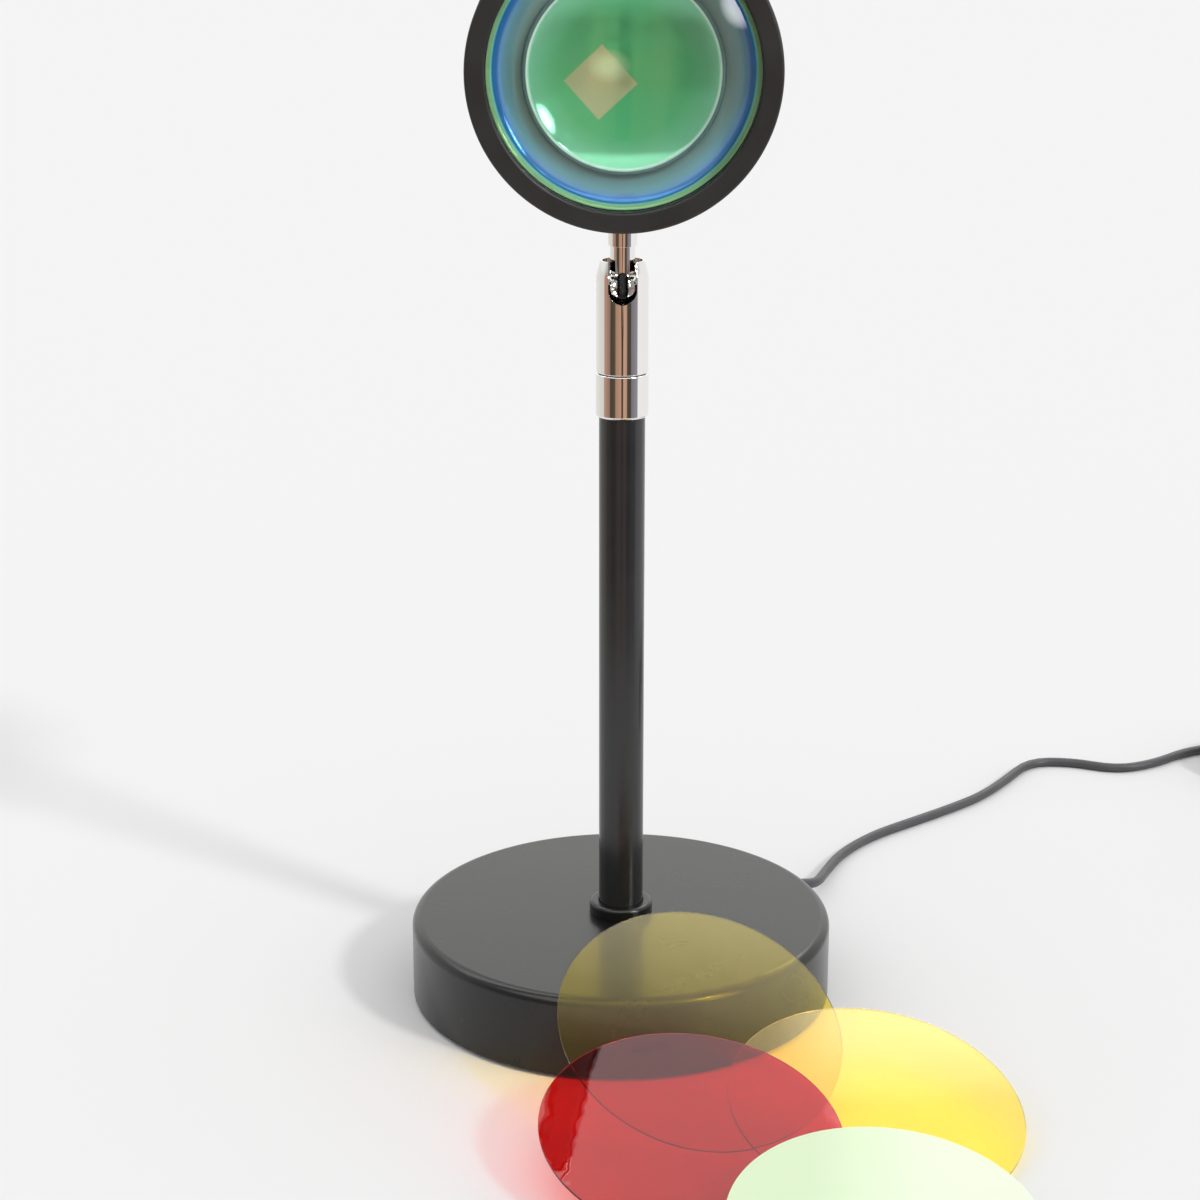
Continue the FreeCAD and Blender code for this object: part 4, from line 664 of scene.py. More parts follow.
def coil_points():
    """The put-away length: loops that spiral in and out again in layers, seen from above clockwise."""
    radius = COIL_INNER_R + COIL_PITCH * COIL_LAYER_TURNS[0]
    height = CORD_LIE_Z
    angle = 90.0
    points = []
    # The spline touches the middles of the lines between its points, so the points lie a little further out.
    outward = 1 / math.cos(math.pi / COIL_POINTS_PER_TURN)

    def lay(turns, way, climb):
        nonlocal radius, height, angle
        steps = round(turns * COIL_POINTS_PER_TURN)
        start_r, start_z, start_angle = radius, height, angle
        for step in range(1, steps + 1):
            share = step / steps
            done = turns * share
            if climb:
                radius = start_r + way * COIL_PITCH * (done - done**2 / turns)
                height = start_z + COIL_PITCH * share**2 * (3 - 2 * share)
            else:
                radius = start_r + way * COIL_PITCH * done
            angle = start_angle - 360.0 * done
            swing = math.radians(angle)
            around = Vector((math.cos(swing), math.sin(swing), 0)) * radius * outward
            points.append(COIL_CENTRE + around + Vector((0, 0, height)))

    for layer, turns in enumerate(COIL_LAYER_TURNS):
        way = -1 if layer % 2 == 0 else 1
        lay(turns, way, False)
        if layer < len(COIL_LAYER_TURNS) - 1:
            lay(0.5, way, True)
    return points


def cord_curve(name, points):
    """A round cord along a smooth spline."""
    curve = bpy.data.curves.new(name, "CURVE")
    curve.dimensions = "3D"
    curve.bevel_depth = CORD_R * MM
    curve.bevel_resolution = 4
    curve.resolution_u = 4
    curve.use_fill_caps = True
    spline = curve.splines.new("NURBS")
    spline.points.add(len(points) - 1)
    for slot, point in zip(spline.points, points):
        slot.co = (point[0] * MM, point[1] * MM, point[2] * MM, 1.0)
    spline.order_u = 3
    spline.use_endpoint_u = True
    obj = bpy.data.objects.new(name, curve)
    bpy.context.collection.objects.link(obj)
    return obj


coil_entry = COIL_CENTRE + Vector((0, COIL_INNER_R + COIL_PITCH * COIL_LAYER_TURNS[0], CORD_LIE_Z))
coil = coil_points()
# Points this far before and after the coil keep the cord in line with it.
EASE = 2.6
main_points = [BOOT_TIP, BOOT_TIP + EXIT_WAY * 5.5] + RUN_ROUTE
main_points += [coil_entry + Vector((-EASE, 0, 0)), coil_entry] + coil + [coil[-1] + Vector((0, -EASE, 0))]
main_points += LEAD_ROUTE
main_cord = cord_curve("cord_main", main_points)
tail_cord = cord_curve("cord_to_plug", TAIL_ROUTE)
jacket = cord_jacket()
for piece, stands_for in ((main_cord, ("cord_run", "cord_coil", "cord_lead")), (tail_cord, ("cord_tail",))):
    piece.data.materials.append(jacket)
    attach(piece, "base")
    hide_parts(*stands_for)

# ---------------------------------------------------------------- base and stem
SHELL_INNER_R = 48.4
SHELL_FOOT = 0.8
SHELL_CEILING = 18.0
RIM_ROUND = 2.4
NIPPLE_WAY_R = 3.3
COLLAR_R = 7.5
COLLAR_FOOT = 20.02
COLLAR_TOP = 23.0
COLLAR_BORE_R = 5.35
STEM_BORE_R = 4.25

powder = powder_coat_black()
base_cover = turned(
    "base_cover",
    rounded(
        [
            (SHELL_INNER_R, SHELL_FOOT),
            (BASE_R, SHELL_FOOT, 0.3),
            (BASE_R, BASE_TOP, RIM_ROUND),
            (NIPPLE_WAY_R, BASE_TOP),
            (NIPPLE_WAY_R, SHELL_CEILING),
            (SHELL_INNER_R, SHELL_CEILING, 1.2),
        ],
        closed=True,
    ),
    steps=192,
)
fit(base_cover, "base", powder, ["base_shell"])

collar = turned(
    "stem_foot_collar",
    rounded(
        [
            (NIPPLE_WAY_R, COLLAR_FOOT),
            (COLLAR_R, COLLAR_FOOT),
            (COLLAR_R, COLLAR_TOP, 0.9),
            (COLLAR_BORE_R, COLLAR_TOP),
            (COLLAR_BORE_R, STEM_FOOT),
            (NIPPLE_WAY_R, STEM_FOOT),
        ],
        closed=True,
    ),
)
soften(collar, 0.12)
fit(collar, "base", powder, ["stem_collar"])

stem = turned(
    "stem",
    rounded(
        [
            (STEM_BORE_R, STEM_FOOT),
            (STEM_R, STEM_FOOT, 0.4),
            (STEM_R, STEM_TOP, 0.12),
            (STEM_BORE_R, STEM_TOP),
        ],
        closed=True,
    ),
    steps=96,
)
fit(stem, "base", stem_paint_black(), ["stem_tube"])

# ---------------------------------------------------------------- chrome swivel
FERRULE_FOOT = 131.5
FERRULE_SPIGOT_R = 4.2
FERRULE_BORE_R = 3.05
# The stop pin runs in a groove in the ferrule's top.
GROOVE_FLOOR = 150.2
GROOVE_INNER_R = 3.8
GROOVE_OUTER_R = 5.2
SLEEVE_SPINDLE_R = 3.06
SLEEVE_BORE_R = 4.5
SLEEVE_FLOOR_TOP = 154.85
SLEEVE_CONE_FOOT = 173.5
SLEEVE_LIP_R = 4.95
NOTCH_REACH = 8
PIN_WAY_R = 1.02
NECK_FLARE = 0.3
NECK_FLARE_FOOT = 2.83
NECK_FLARE_TOP = 3.6
NECK_SHOULDER_Z = 186.6
NECK_THREAD_R = 2.4
NECK_TOP = 195.6
# The arched window in the ball: half its width, the middles of its foot and its arch above the pivot, and how
# far the cutter reaches forward.
WINDOW_R = 1.2
WINDOW_FOOT = -0.8
WINDOW_ARCH = 2.6
WINDOW_REACH = 7
BORE_MARGIN = 0.05
LOCK_RING_R = 3.25
LOCK_RING_BORE_R = 2.84

chrome = chrome_plate()
ferrule = turned(
    "stem_cap",
    rounded(
        [
            (FERRULE_BORE_R, FERRULE_FOOT),
            (FERRULE_SPIGOT_R, FERRULE_FOOT),
            (FERRULE_SPIGOT_R, STEM_TOP),
            (FERRULE_R, STEM_TOP, 0.8),
            (FERRULE_R, FERRULE_TOP, 0.3),
            (GROOVE_OUTER_R, FERRULE_TOP),
            (GROOVE_OUTER_R, GROOVE_FLOOR),
            (GROOVE_INNER_R, GROOVE_FLOOR),
            (GROOVE_INNER_R, FERRULE_TOP),
            (FERRULE_BORE_R, FERRULE_TOP),
        ],
        closed=True,
    ),
    steps=96,
)
fit(ferrule, "base", chrome, ["lower_ferrule"])

sleeve = turned(
    "swivel_sleeve_bright",
    rounded(
        [
            (SLEEVE_SPINDLE_R, SLEEVE_FOOT),
            (SLEEVE_R, SLEEVE_FOOT, 0.3),
            (SLEEVE_R, SLEEVE_CONE_FOOT),
            (SLEEVE_LIP_R, SLEEVE_TOP),
            (SLEEVE_BORE_R, SLEEVE_TOP),
            (SLEEVE_BORE_R, SLEEVE_FLOOR_TOP),
            (SLEEVE_SPINDLE_R, SLEEVE_FLOOR_TOP),
        ],
        closed=True,
    ),
    steps=96,
)
notch = rod("notch_round", NOTCH_R, PIVOT - Y_AXIS * NOTCH_REACH, PIVOT, 64)
notch_mouth = block(
    "notch_mouth", (-NOTCH_R, -NOTCH_REACH, PIVOT.z), (NOTCH_R, 0, PIVOT.z + NOTCH_REACH)
)
cut(sleeve, notch, notch_mouth)
pin_way = rod("pin_way", PIN_WAY_R, PIVOT - X_AXIS * NOTCH_REACH, PIVOT + X_AXIS * NOTCH_REACH, 32)
cut(sleeve, pin_way)
soften(sleeve, 0.16, 30, 2)
fit(sleeve, "swivel", chrome, ["swivel_sleeve"])

ball = []
for step in range(33):
    swing = math.radians(-90 + 180 * step / 32)
    ball.append((BALL_R * math.cos(swing), PIVOT.z + BALL_R * math.sin(swing)))
ball_foot = (WIRE_WAY_R, PIVOT.z - math.sqrt(BALL_R**2 - WIRE_WAY_R**2))
lower = [point for point in ball if point[0] > WIRE_WAY_R and point[1] < PIVOT.z]
upper = [point for point in ball if point[0] > NECK_R + NECK_FLARE and point[1] >= PIVOT.z]
neck = [
    (NECK_R + NECK_FLARE, PIVOT.z + NECK_FLARE_FOOT),
    (NECK_R, PIVOT.z + NECK_FLARE_TOP),
    (NECK_R, NECK_SHOULDER_Z),
    (NECK_THREAD_R, NECK_SHOULDER_Z),
    (NECK_THREAD_R, NECK_TOP),
    (WIRE_WAY_R, NECK_TOP),
]
knuckle = turned("knuckle_and_neck", [ball_foot] + lower + upper + neck + [ball_foot], steps=96)
window = block(
    "window", (-WINDOW_R, -WINDOW_REACH, PIVOT.z + WINDOW_FOOT), (WINDOW_R, 0, PIVOT.z + WINDOW_ARCH)
)
for name, height in (("window_foot", WINDOW_FOOT), ("window_arch", WINDOW_ARCH)):
    middle = PIVOT + Vector((0, 0, height))
    weld(window, rod(name, WINDOW_R, middle - Y_AXIS * WINDOW_REACH, middle, 32))
cut(knuckle, window)
# The wall of the wire's bore, which the window shows, gets the black rubber as painted shade for the dark
# inside of the hole, as if it were a rubber sleeve.
painted_shade_faces = []
for face in knuckle.data.polygons:
    far = max(knuckle.data.vertices[v].co.xy.length for v in face.vertices)
    if far < (WIRE_WAY_R + BORE_MARGIN) * MM:
        painted_shade_faces.append(face.index)
fit(knuckle, "head", chrome, ["knuckle"], LEAN)
rubber = soft_rubber()
knuckle.data.materials.append(rubber)
for index in painted_shade_faces:
    knuckle.data.polygons[index].material_index = 1

ring_under = HEAD_AXIS_Z - HEAD_R
lock_ring = turned(
    "neck_lock_ring",
    rounded(
        [
            (LOCK_RING_BORE_R, ring_under - 7.2),
            (LOCK_RING_R, ring_under - 7.2),
            (LOCK_RING_R, ring_under + 0.6),
            (LOCK_RING_BORE_R, ring_under + 0.6),
        ],
        closed=True,
    ),
    steps=64,
)
can_wall = rod(
    "can_wall", HEAD_R + 0.01, (0, FACE_Y, HEAD_AXIS_Z), (0, FACE_Y + HEAD_DEPTH, HEAD_AXIS_Z), 256
)
cut(lock_ring, can_wall)
soften(lock_ring, 0.12, 30, 2)
fit(lock_ring, "head", chrome, ["neck_ring"], LEAN)

# ---------------------------------------------------------------- head
# Depths here run back from the ring's front face.
RING_BORE_R = 32.2
RING_LIP = 2.2
RING_ROUND = 0.7
GLASS_R = 32.0
DOME_RISE = 7.5
DOME_SEAT = 2.22
DOME_BACK = 4.7
DISH_R = 19.4
DISH_FRONT = 9.4
DISH_RISE = 3.6
SPIGOT_R = 32.14
SPIGOT_FRONT = 7.65
CAN_FRONT = 9.95
CAN_BACK = 42.0
CAN_BORE_R = 31.0
CAN_WAIST_R = 30.2
CAN_WAIST_FRONT = 14.0
WEB_FRONT = 29.0
WEB_BACK = 32.0
CAN_REAR_BORE_R = 28.5
FIN_GROOVES = 4
FIN_GROOVE_BACK = 39.2
FIN_PITCH = 2.7
FIN_GROOVE = 1.6
FIN_FLOOR_R = 31.1
CAP_FRONT = 42.02
CAP_SPIGOT_R = 22.5
CAP_INSIDE = 44.0
CAP_ROUND = 3.0
VENTS = 12
VENT_R = 0.9
VENT_INNER = 10.0
VENT_OUTER = 20.0
CAP_SCREWS = 3
CAP_SCREW_CIRCLE_R = 26.5
# Past the cap's back, so that what cuts it comes out at the other side.
BEHIND_CAP = 47.0

anodised = anodised_black()
front_ring = turned(
    "lens_ring_black",
    rounded(
        [
            (RING_OPENING_R, 0, RING_ROUND),
            (HEAD_R, 0, RING_ROUND),
            (HEAD_R, RING_LENGTH),
            (RING_BORE_R, RING_LENGTH),
            (RING_BORE_R, RING_LIP),
            (RING_OPENING_R, RING_LIP),
        ],
        closed=True,
    ),
    steps=192,
)
soften(front_ring, 0.12, 40, 2)
fit(front_ring, "lens_ring", anodised, ["front_ring"], ON_HEAD)

dome_edge = RING_OPENING_R - 0.25
dome_r = (dome_edge**2 + DOME_RISE**2) / (2 * DOME_RISE)
dome_top = RING_LIP - DOME_RISE
arc = []
for step in range(41):
    swing = math.asin(dome_edge / dome_r) * step / 40
    arc.append((dome_r * math.sin(swing), dome_top + dome_r * (1 - math.cos(swing))))
dome = turned("lens_dome", arc + [(GLASS_R, DOME_SEAT), (GLASS_R, DOME_BACK), (0, DOME_BACK)], steps=160)
soften(dome, 0.15, 30, 2)
fit(dome, "lens_ring", dome_glass(), ["lens"], ON_HEAD)

dish = []
for step in range(25):
    share = step / 24
    dish.append((DISH_R * share, DISH_FRONT - DISH_RISE * share**2))
# The glass rises to an edge round the dish, which the coating's rings paint bright as a highlight, sinks into
# a trough and ends in its flat rim.
rim = rounded(
    [
        (19.7, 5.6, 0.15),
        (20.3, 5.6, 0.15),
        (20.5, 6.5),
        (24.0, 6.9),
        (27.0, 6.2),
        (29.0, 5.6),
        (GLASS_R, 5.6),
        (GLASS_R, 6.65),
        (22.0, 7.3),
        (19.0, 8.0),
        (10.0, 10.0),
        (0, 10.6),
    ]
)
coated = turned("coated_lens", dish + rim, steps=160)
fit(coated, "lens_ring", interference_coating(), ["coated_glass"], ON_HEAD)

fins = []
for step in reversed(range(FIN_GROOVES)):
    groove = FIN_GROOVE_BACK - FIN_PITCH * step
    fins += [
        (HEAD_R, groove - FIN_GROOVE),
        (FIN_FLOOR_R, groove - FIN_GROOVE),
        (FIN_FLOOR_R, groove),
        (HEAD_R, groove),
    ]
can = turned(
    "head_can",
    rounded(
        [
            (CAN_BORE_R, SPIGOT_FRONT),
            (SPIGOT_R, SPIGOT_FRONT),
            (SPIGOT_R, CAN_FRONT),
            (HEAD_R, CAN_FRONT),
            *fins,
            (HEAD_R, CAN_BACK),
            (CAN_REAR_BORE_R, CAN_BACK),
            (CAN_REAR_BORE_R, WEB_BACK),
            (0, WEB_BACK),
            (0, WEB_FRONT),
            (CAN_WAIST_R, WEB_FRONT),
            (CAN_WAIST_R, CAN_WAIST_FRONT),
            (CAN_BORE_R, CAN_WAIST_FRONT),
        ],
        closed=True,
    ),
    steps=192,
)
soften(can, 0.15, 40, 2)
fit(can, "head", anodised, ["head_body"], ON_HEAD)

cover = turned(
    "rear_cap",
    rounded(
        [
            (CAP_SPIGOT_R, CAP_FRONT),
            (HEAD_R, CAP_FRONT, 0.2),
            (HEAD_R, HEAD_DEPTH, CAP_ROUND),
            (0, HEAD_DEPTH),
            (0, CAP_INSIDE),
            (CAP_SPIGOT_R, CAP_INSIDE),
        ],
        closed=True,
    ),
    steps=192,
)
slot = block("vent", (VENT_INNER, -VENT_R, 43.0), (VENT_OUTER, VENT_R, BEHIND_CAP))
for name, middle in (("vent_end", VENT_INNER), ("vent_tip", VENT_OUTER)):
    weld(slot, rod(name, VENT_R, (middle, 0, 43.0), (middle, 0, BEHIND_CAP), 24))
vents = copies(slot, [Matrix.Rotation(math.tau * step / VENTS, 4, "Z") for step in range(VENTS)])
cut(cover, vents)
sink = turned(
    "sink",
    [(0, 41.0), (1.27, 41.0), (1.27, 44.1), (2.42, 45.7), (2.42, BEHIND_CAP), (0, BEHIND_CAP)],
    steps=48,
)
screw_places = ring_places(CAP_SCREW_CIRCLE_R, CAP_SCREWS, -90)
cut(cover, copies(sink, screw_places))
soften(cover, 0.15, 40, 2)
fit(cover, "head", moulded_black(), ["rear_cover"], ON_HEAD)

one_screw = turned(
    "cover_screw", [(0, 35.2), (1.25, 35.2), (1.25, 44.15), (2.4, 45.7), (2.4, 45.95), (0, 45.95)], steps=48
)
cross = block("cross", (-1.5, -0.3, 45.2), (1.5, 0.3, BEHIND_CAP))
weld(cross, block("cross_bar", (-0.3, -1.5, 45.2), (0.3, 1.5, BEHIND_CAP)))
cut(one_screw, cross)
soften(one_screw, 0.05, 40, 1)
screws = copies(one_screw, screw_places)
screws.name = "rear_cap_screws"
fit(screws, "head", black_oxide(), ["cover_screws"], ON_HEAD)

# ---------------------------------------------------------------- cord boot
# Lengths here run out from the base's axis along the cord.
BOOT_INNER = 47.1
BOOT_WALL_INNER = 48.27
BOOT_WALL_OUTER = 50.0
BOOT_FLANGE = 50.02
BOOT_WAIST_R = 2.8
BOOT_INNER_R = 3.5
BOOT_FLANGE_R = 4.3
BOOT_ROOT = 51.5
BOOT_ROOT_R = 2.7
RIBS = 3
RIB_PITCH = 2.375
RIB_GROOVE = 0.4

EXIT_TURN = (
    Matrix.Translation((0, 0, EXIT_Z * MM))
    @ Matrix.Rotation(EXIT_ANGLE, 4, "Z")
    @ Matrix.Rotation(math.radians(90), 4, "Y")
)
ribs = []
for step in range(1, RIBS + 1):
    taper = BOOT_ROOT_R - 0.6 * step / (RIBS + 1)
    middle = BOOT_ROOT + RIB_PITCH * step
    ribs += [
        (taper + 0.06, middle - 0.55),
        (taper - RIB_GROOVE, middle - 0.4),
        (taper - RIB_GROOVE, middle + 0.4),
        (taper - 0.06, middle + 0.55),
    ]
boot = turned(
    "cord_boot",
    rounded(
        [
            (CORD_WAY_R, BOOT_INNER),
            (BOOT_INNER_R, BOOT_INNER),
            (BOOT_INNER_R, BOOT_WALL_INNER),
            (BOOT_WAIST_R, BOOT_WALL_INNER),
            (BOOT_WAIST_R, BOOT_WALL_OUTER),
            (BOOT_WAIST_R, BOOT_FLANGE),
            (BOOT_FLANGE_R, BOOT_FLANGE, 0.3),
            (BOOT_FLANGE_R, 50.95, 0.4),
            (BOOT_ROOT_R, BOOT_ROOT),
            *ribs,
            (2.3, 60.2),
            (2.1, BOOT_TIP_R, 0.2),
            (CORD_WAY_R, BOOT_TIP_R),
        ],
        closed=True,
    ),
    steps=64,
)
soften(boot, 0.08, 40, 2)
fit(boot, "base", rubber, ["cord_grommet"], EXIT_TURN)

# ---------------------------------------------------------------- colour filters
SHEET_R = 32.0
SHEET_HALF = 0.25
SHEET_EDGE_ROUND = 0.06
# Each sheet's middle and the way it faces, as in the part's source, then its face tint, its shadow tint, its
# clearness and its swell.
SHEETS = [
    ("filter_amber", (17.13, -54.18, 15.97), (0.1820, -0.4532, 0.8727), "#f9e141", "#fdf0b0", 1.0, 0.006),
    ("filter_yellow", (53.94, -74.88, 8.13), (0.0999, -0.2213, 0.9701), "#ffe75c", "#fff0b0", 1.0, 0.008),
    ("filter_red", (14.04, -89.83, 9.95), (0.0798, -0.2059, 0.9753), "#c4120f", "#f6b4b4", 1.0, 0.09),
    # The green sheet is nearly opal: its pale face tint is partly its own milky colour and partly a painted
    # reflection of the bright panel that it mirrors.
    ("filter_green", (51.54, -118.01, 4.79), (0.0314, -0.1346, 0.9904), "#eeffde", "#e8f6e0", 0.15, 0.0),
]
sheet_outline = rounded(
    [
        (0, -SHEET_HALF),
        (SHEET_R, -SHEET_HALF, SHEET_EDGE_ROUND),
        (SHEET_R, SHEET_HALF, SHEET_EDGE_ROUND),
        (0, SHEET_HALF),
    ],
    steps=3,
)
for name, centre, face, face_tint, shadow_tint, clearness, swell in SHEETS:
    sheet = turned(name + "_sheet", sheet_outline, steps=192)
    upright = Vector(face).normalized().to_track_quat("Z", "Y").to_matrix().to_4x4()
    dyed = colour_sheet(name.replace("filter_", "acrylic_"), face_tint, shadow_tint, clearness, swell)
    fit(sheet, name, dyed, [name], Matrix.Translation(Vector(centre) * MM) @ upright)

# ---------------------------------------------------------------- switch
SWITCH_HALF_WIDTH = 8
SWITCH_HALF_LENGTH = 19
SWITCH_HEIGHT = 11.0
SWITCH_CORD_Z = 5.0
SWITCH_NECK_R = 3.0
SWITCH_NECK_END = 23
SEAM_LOW = 4.96
SEAM_HIGH = 5.1
BUTTON_WAY_R = 4.9
BUTTON_R = 4.6
BUTTON_TOP = 12.7
FLANGE_R = 5.6
FLANGE_UNDER = 8.46
FLANGE_TOP = 9.36
BUTTON_FOOT_R = 1.6
BUTTON_FOOT = 7.24
SWITCH_AT = Matrix.Translation((212.0 * MM, 80.0 * MM, 0))
shell = moulded_black("moulded_switch", "#19191a")


def switch_half(name, waste):
    """Half of the switch's case: a rounded block with a neck for the cord at each end, less the waste that
    belongs to the other half."""
    body = block(
        name,
        (-SWITCH_HALF_WIDTH, -SWITCH_HALF_LENGTH, 0),
        (SWITCH_HALF_WIDTH, SWITCH_HALF_LENGTH, SWITCH_HEIGHT),
        5.0,
        True,
    )
    soften(body, 1.5, 40, 4)
    neck_end = Vector((0, SWITCH_NECK_END, 0))
    cord_at = Vector((0, 0, SWITCH_CORD_Z))
    weld(body, rod("switch_neck", SWITCH_NECK_R, cord_at - neck_end, cord_at + neck_end, 48))
    past_end = neck_end + Y_AXIS
    cut(body, rod("cord_way", CORD_WAY_R, cord_at - past_end, cord_at + past_end, 32))
    cut(body, waste)
    return body


switch_low = switch_half("switch_lower_half", block("upper", (-20, -40, SEAM_LOW), (20, 40, 20)))
soften(switch_low, 0.15, 50, 2)
fit(switch_low, "base", shell, ["switch_base"], SWITCH_AT)
switch_high = switch_half("switch_upper_half", block("lower", (-20, -40, -5), (20, 40, SEAM_HIGH)))
cut(switch_high, rod("button_way", BUTTON_WAY_R, (0, 0, 4), (0, 0, 12), 64))
soften(switch_high, 0.15, 50, 2)
fit(switch_high, "base", shell, ["switch_cover"], SWITCH_AT)
# The push button's top is slightly dished.
button = turned(
    "push_button",
    rounded(
        [
            (0, BUTTON_FOOT),
            (BUTTON_FOOT_R, BUTTON_FOOT),
            (BUTTON_FOOT_R, FLANGE_UNDER),
            (FLANGE_R, FLANGE_UNDER),
            (FLANGE_R, FLANGE_TOP),
            (BUTTON_R, FLANGE_TOP),
            (BUTTON_R, BUTTON_TOP, 0.6),
            (3.0, BUTTON_TOP),
            (2.6, BUTTON_TOP - 0.15),
            (0, BUTTON_TOP - 0.2),
        ]
    ),
    steps=64,
)
soften(button, 0.08, 40, 2)
fit(button, "switch_button", button_black(), ["switch_button"], SWITCH_AT)

# ---------------------------------------------------------------- plug
# Lengths here run from the cord's end along +Y.
GRIP_FOOT = 4.0
GRIP_TIP = 28.0
GRIP_HALF_WIDTH = 7.75
GRIP_HALF_HEIGHT = 4.1
GRIP_LINES = 6
GRIP_LINE_FIRST = 9.0
GRIP_LINE_PITCH = 2.2
GRIP_LINE = 0.9
GRIP_LINE_DEPTH = 0.35
GRIP_LINE_HALF = 2.6
TIN_FOOT = 22.0
TIN_TIP = 46.7
TIN_HALF_WIDTH = 6.0
TIN_HALF_HEIGHT = 2.25
TIN_WALL = 0.35
TIN_WINDOW_X = 2.9
PLUG_AT = Matrix.Translation(Vector(TAIL_ROUTE[-1]) * MM)

grip = block(
    "plug_handle",
    (-GRIP_HALF_WIDTH, GRIP_FOOT, -GRIP_HALF_HEIGHT),
    (GRIP_HALF_WIDTH, GRIP_TIP, GRIP_HALF_HEIGHT),
    1.9,
)
relief = turned(
    "relief",
    rounded([(CORD_WAY_R, -3.0), (2.0, -3.0, 0.2), (3.0, 4.2), (CORD_WAY_R, 4.2)], closed=True),
    steps=48,
)
relief.data.transform(Matrix.Rotation(math.radians(-90), 4, "X"))
weld(grip, relief)
for side in (-1, 1):
    for step in range(GRIP_LINES):
        face_x = side * GRIP_HALF_WIDTH
        at = GRIP_LINE_FIRST + GRIP_LINE_PITCH * step
        low = (face_x - GRIP_LINE_DEPTH, at, -GRIP_LINE_HALF)
        high = (face_x + GRIP_LINE_DEPTH, at + GRIP_LINE, GRIP_LINE_HALF)
        cut(grip, block("grip_line", low, high))
soften(grip, 0.12, 50, 2)
fit(grip, "base", shell, ["plug_grip"], PLUG_AT)

tin = block(
    "plug_sleeve",
    (-TIN_HALF_WIDTH, TIN_FOOT, -TIN_HALF_HEIGHT),
    (TIN_HALF_WIDTH, TIN_TIP, TIN_HALF_HEIGHT),
    TIN_WALL,
)
mouth = block(
    "plug_mouth",
    (TIN_WALL - TIN_HALF_WIDTH, TIN_FOOT - 1, TIN_WALL - TIN_HALF_HEIGHT),
    (TIN_HALF_WIDTH - TIN_WALL, 48.0, TIN_HALF_HEIGHT - TIN_WALL),
)
cut(tin, mouth)
for side in (-1, 1):
    middle = side * TIN_WINDOW_X
    cut(tin, block("plug_window", (middle - 1.0, 37.5, -4), (middle + 1.0, 39.7, 4)))
fit(tin, "base", nickel_shell(), ["plug_shell"], PLUG_AT)

# ---------------------------------------------------------------- pieces that stay as the CAD gives them
HIDDEN_FIXINGS = [
    "base_plate",
    "plate_screws",
    "nipple",
    "base_washer",
    "base_nut",
    "stem_insert",
    "spindle",
    "spring_washer",
    "spring_clip",
    "stop_pin",
    "board_screws",
    "switch_screws",
]
KEPT = [
    (plated_steel(), HIDDEN_FIXINGS),
    (turned_brass(), ["spindle_nut", "neck_nut"]),
    (iron_casting(), ["base_weight"]),
    (rubber, ["foot_pad", "lens_gasket"]),
    (spun_aluminium(), ["light_cone"]),
    (board_laminate(), ["driver_board", "switch_board"]),
    (white_resist(), ["led_board"]),
    (phosphor_gel(), ["led_emitter"]),
    (white_nylon(), ["plug_tongue"]),
    (chrome, ["tilt_pins"]),
    (jacket, ["inner_lead", "neck_wires"]),
]
for finish, kept in KEPT:
    for name in kept:
        nodes[name].data.materials.clear()
        nodes[name].data.materials.append(finish)

# ---------------------------------------------------------------- studio
PALE = "#f3f3f3"
# Mirror-like pieces see the paper as far as this from the middle, in metres, and then the room.
TABLE_REACH = 0.22
TABLE_FADE = 0.1
KEY_AZIMUTH = -38.0
KEY_ELEVATION = 37.0
KEY_SPREAD = 7.0
KEY_STRENGTH = 0.94
ROOM_LIGHT = 0.835
# The lamp as gloss and glass show it: a disc with a soft edge.
DISC_AZIMUTH = -36.0
DISC_ELEVATION = 17.0
DISC_CORE = math.radians(5.0)
DISC_EDGE = math.radians(10.0)
DISC_STRENGTH = 14.0
# Below the table's height the room's picture has drapes, and above it a plain wall. Both go round from behind
# the lamp over its left, the front and its right, and back again.
DRAPES = [
    (0.0, "#f6f6f4"),
    (0.2585, "#dfe0d8"),
    (0.262, "#c49c86"),
    (0.345, "#96786c"),
    (0.352, "#4c4739"),
    (0.412, "#5a5242"),
    (0.42, "#b08a76"),
    (0.486, "#c79c84"),
    (0.492, "#4a3f36"),
    (0.508, "#4a3f36"),
    (0.513, "#cfa68c"),
    (0.553, "#c39b84"),
    (0.560, "#53483f"),
    (0.604, "#4b4540"),
    (0.610, "#7d7a80"),
    (0.692, "#98959c"),
    (0.699, "#fbfbfb"),
    (0.93, "#f6f6f4"),
]
WALL = [
    (0.22, "#f6f6f4"),
    (0.30, "#a4a5a3"),
    (0.5, "#9a9b99"),
    (0.68, "#a4a5a3"),
    (0.76, "#f6f6f4"),
]
DRAPES_TOP = 0.05
# Panels overhead, from the front to the back, as shares of PANEL_STRENGTH. They begin at this height on the
# unit sphere and are full at the other.
PANELS_FOOT = 0.58
PANELS_FULL = 0.64
PANEL_STRENGTH = 6.0
PANELS = [
    (0.0, "#aaaaaa"),
    (0.40, "#aaaaaa"),
    (0.46, "#444444"),
    (0.583, "#3f3f3f"),
    (0.614, "#cbcbcb"),
    (0.67, "#cbcbcb"),
    (0.74, "#8c8c8c"),
    (0.80, "#949494"),
    (0.822, "#929292"),
    (0.832, "#444444"),
    (1.0, "#444444"),
]
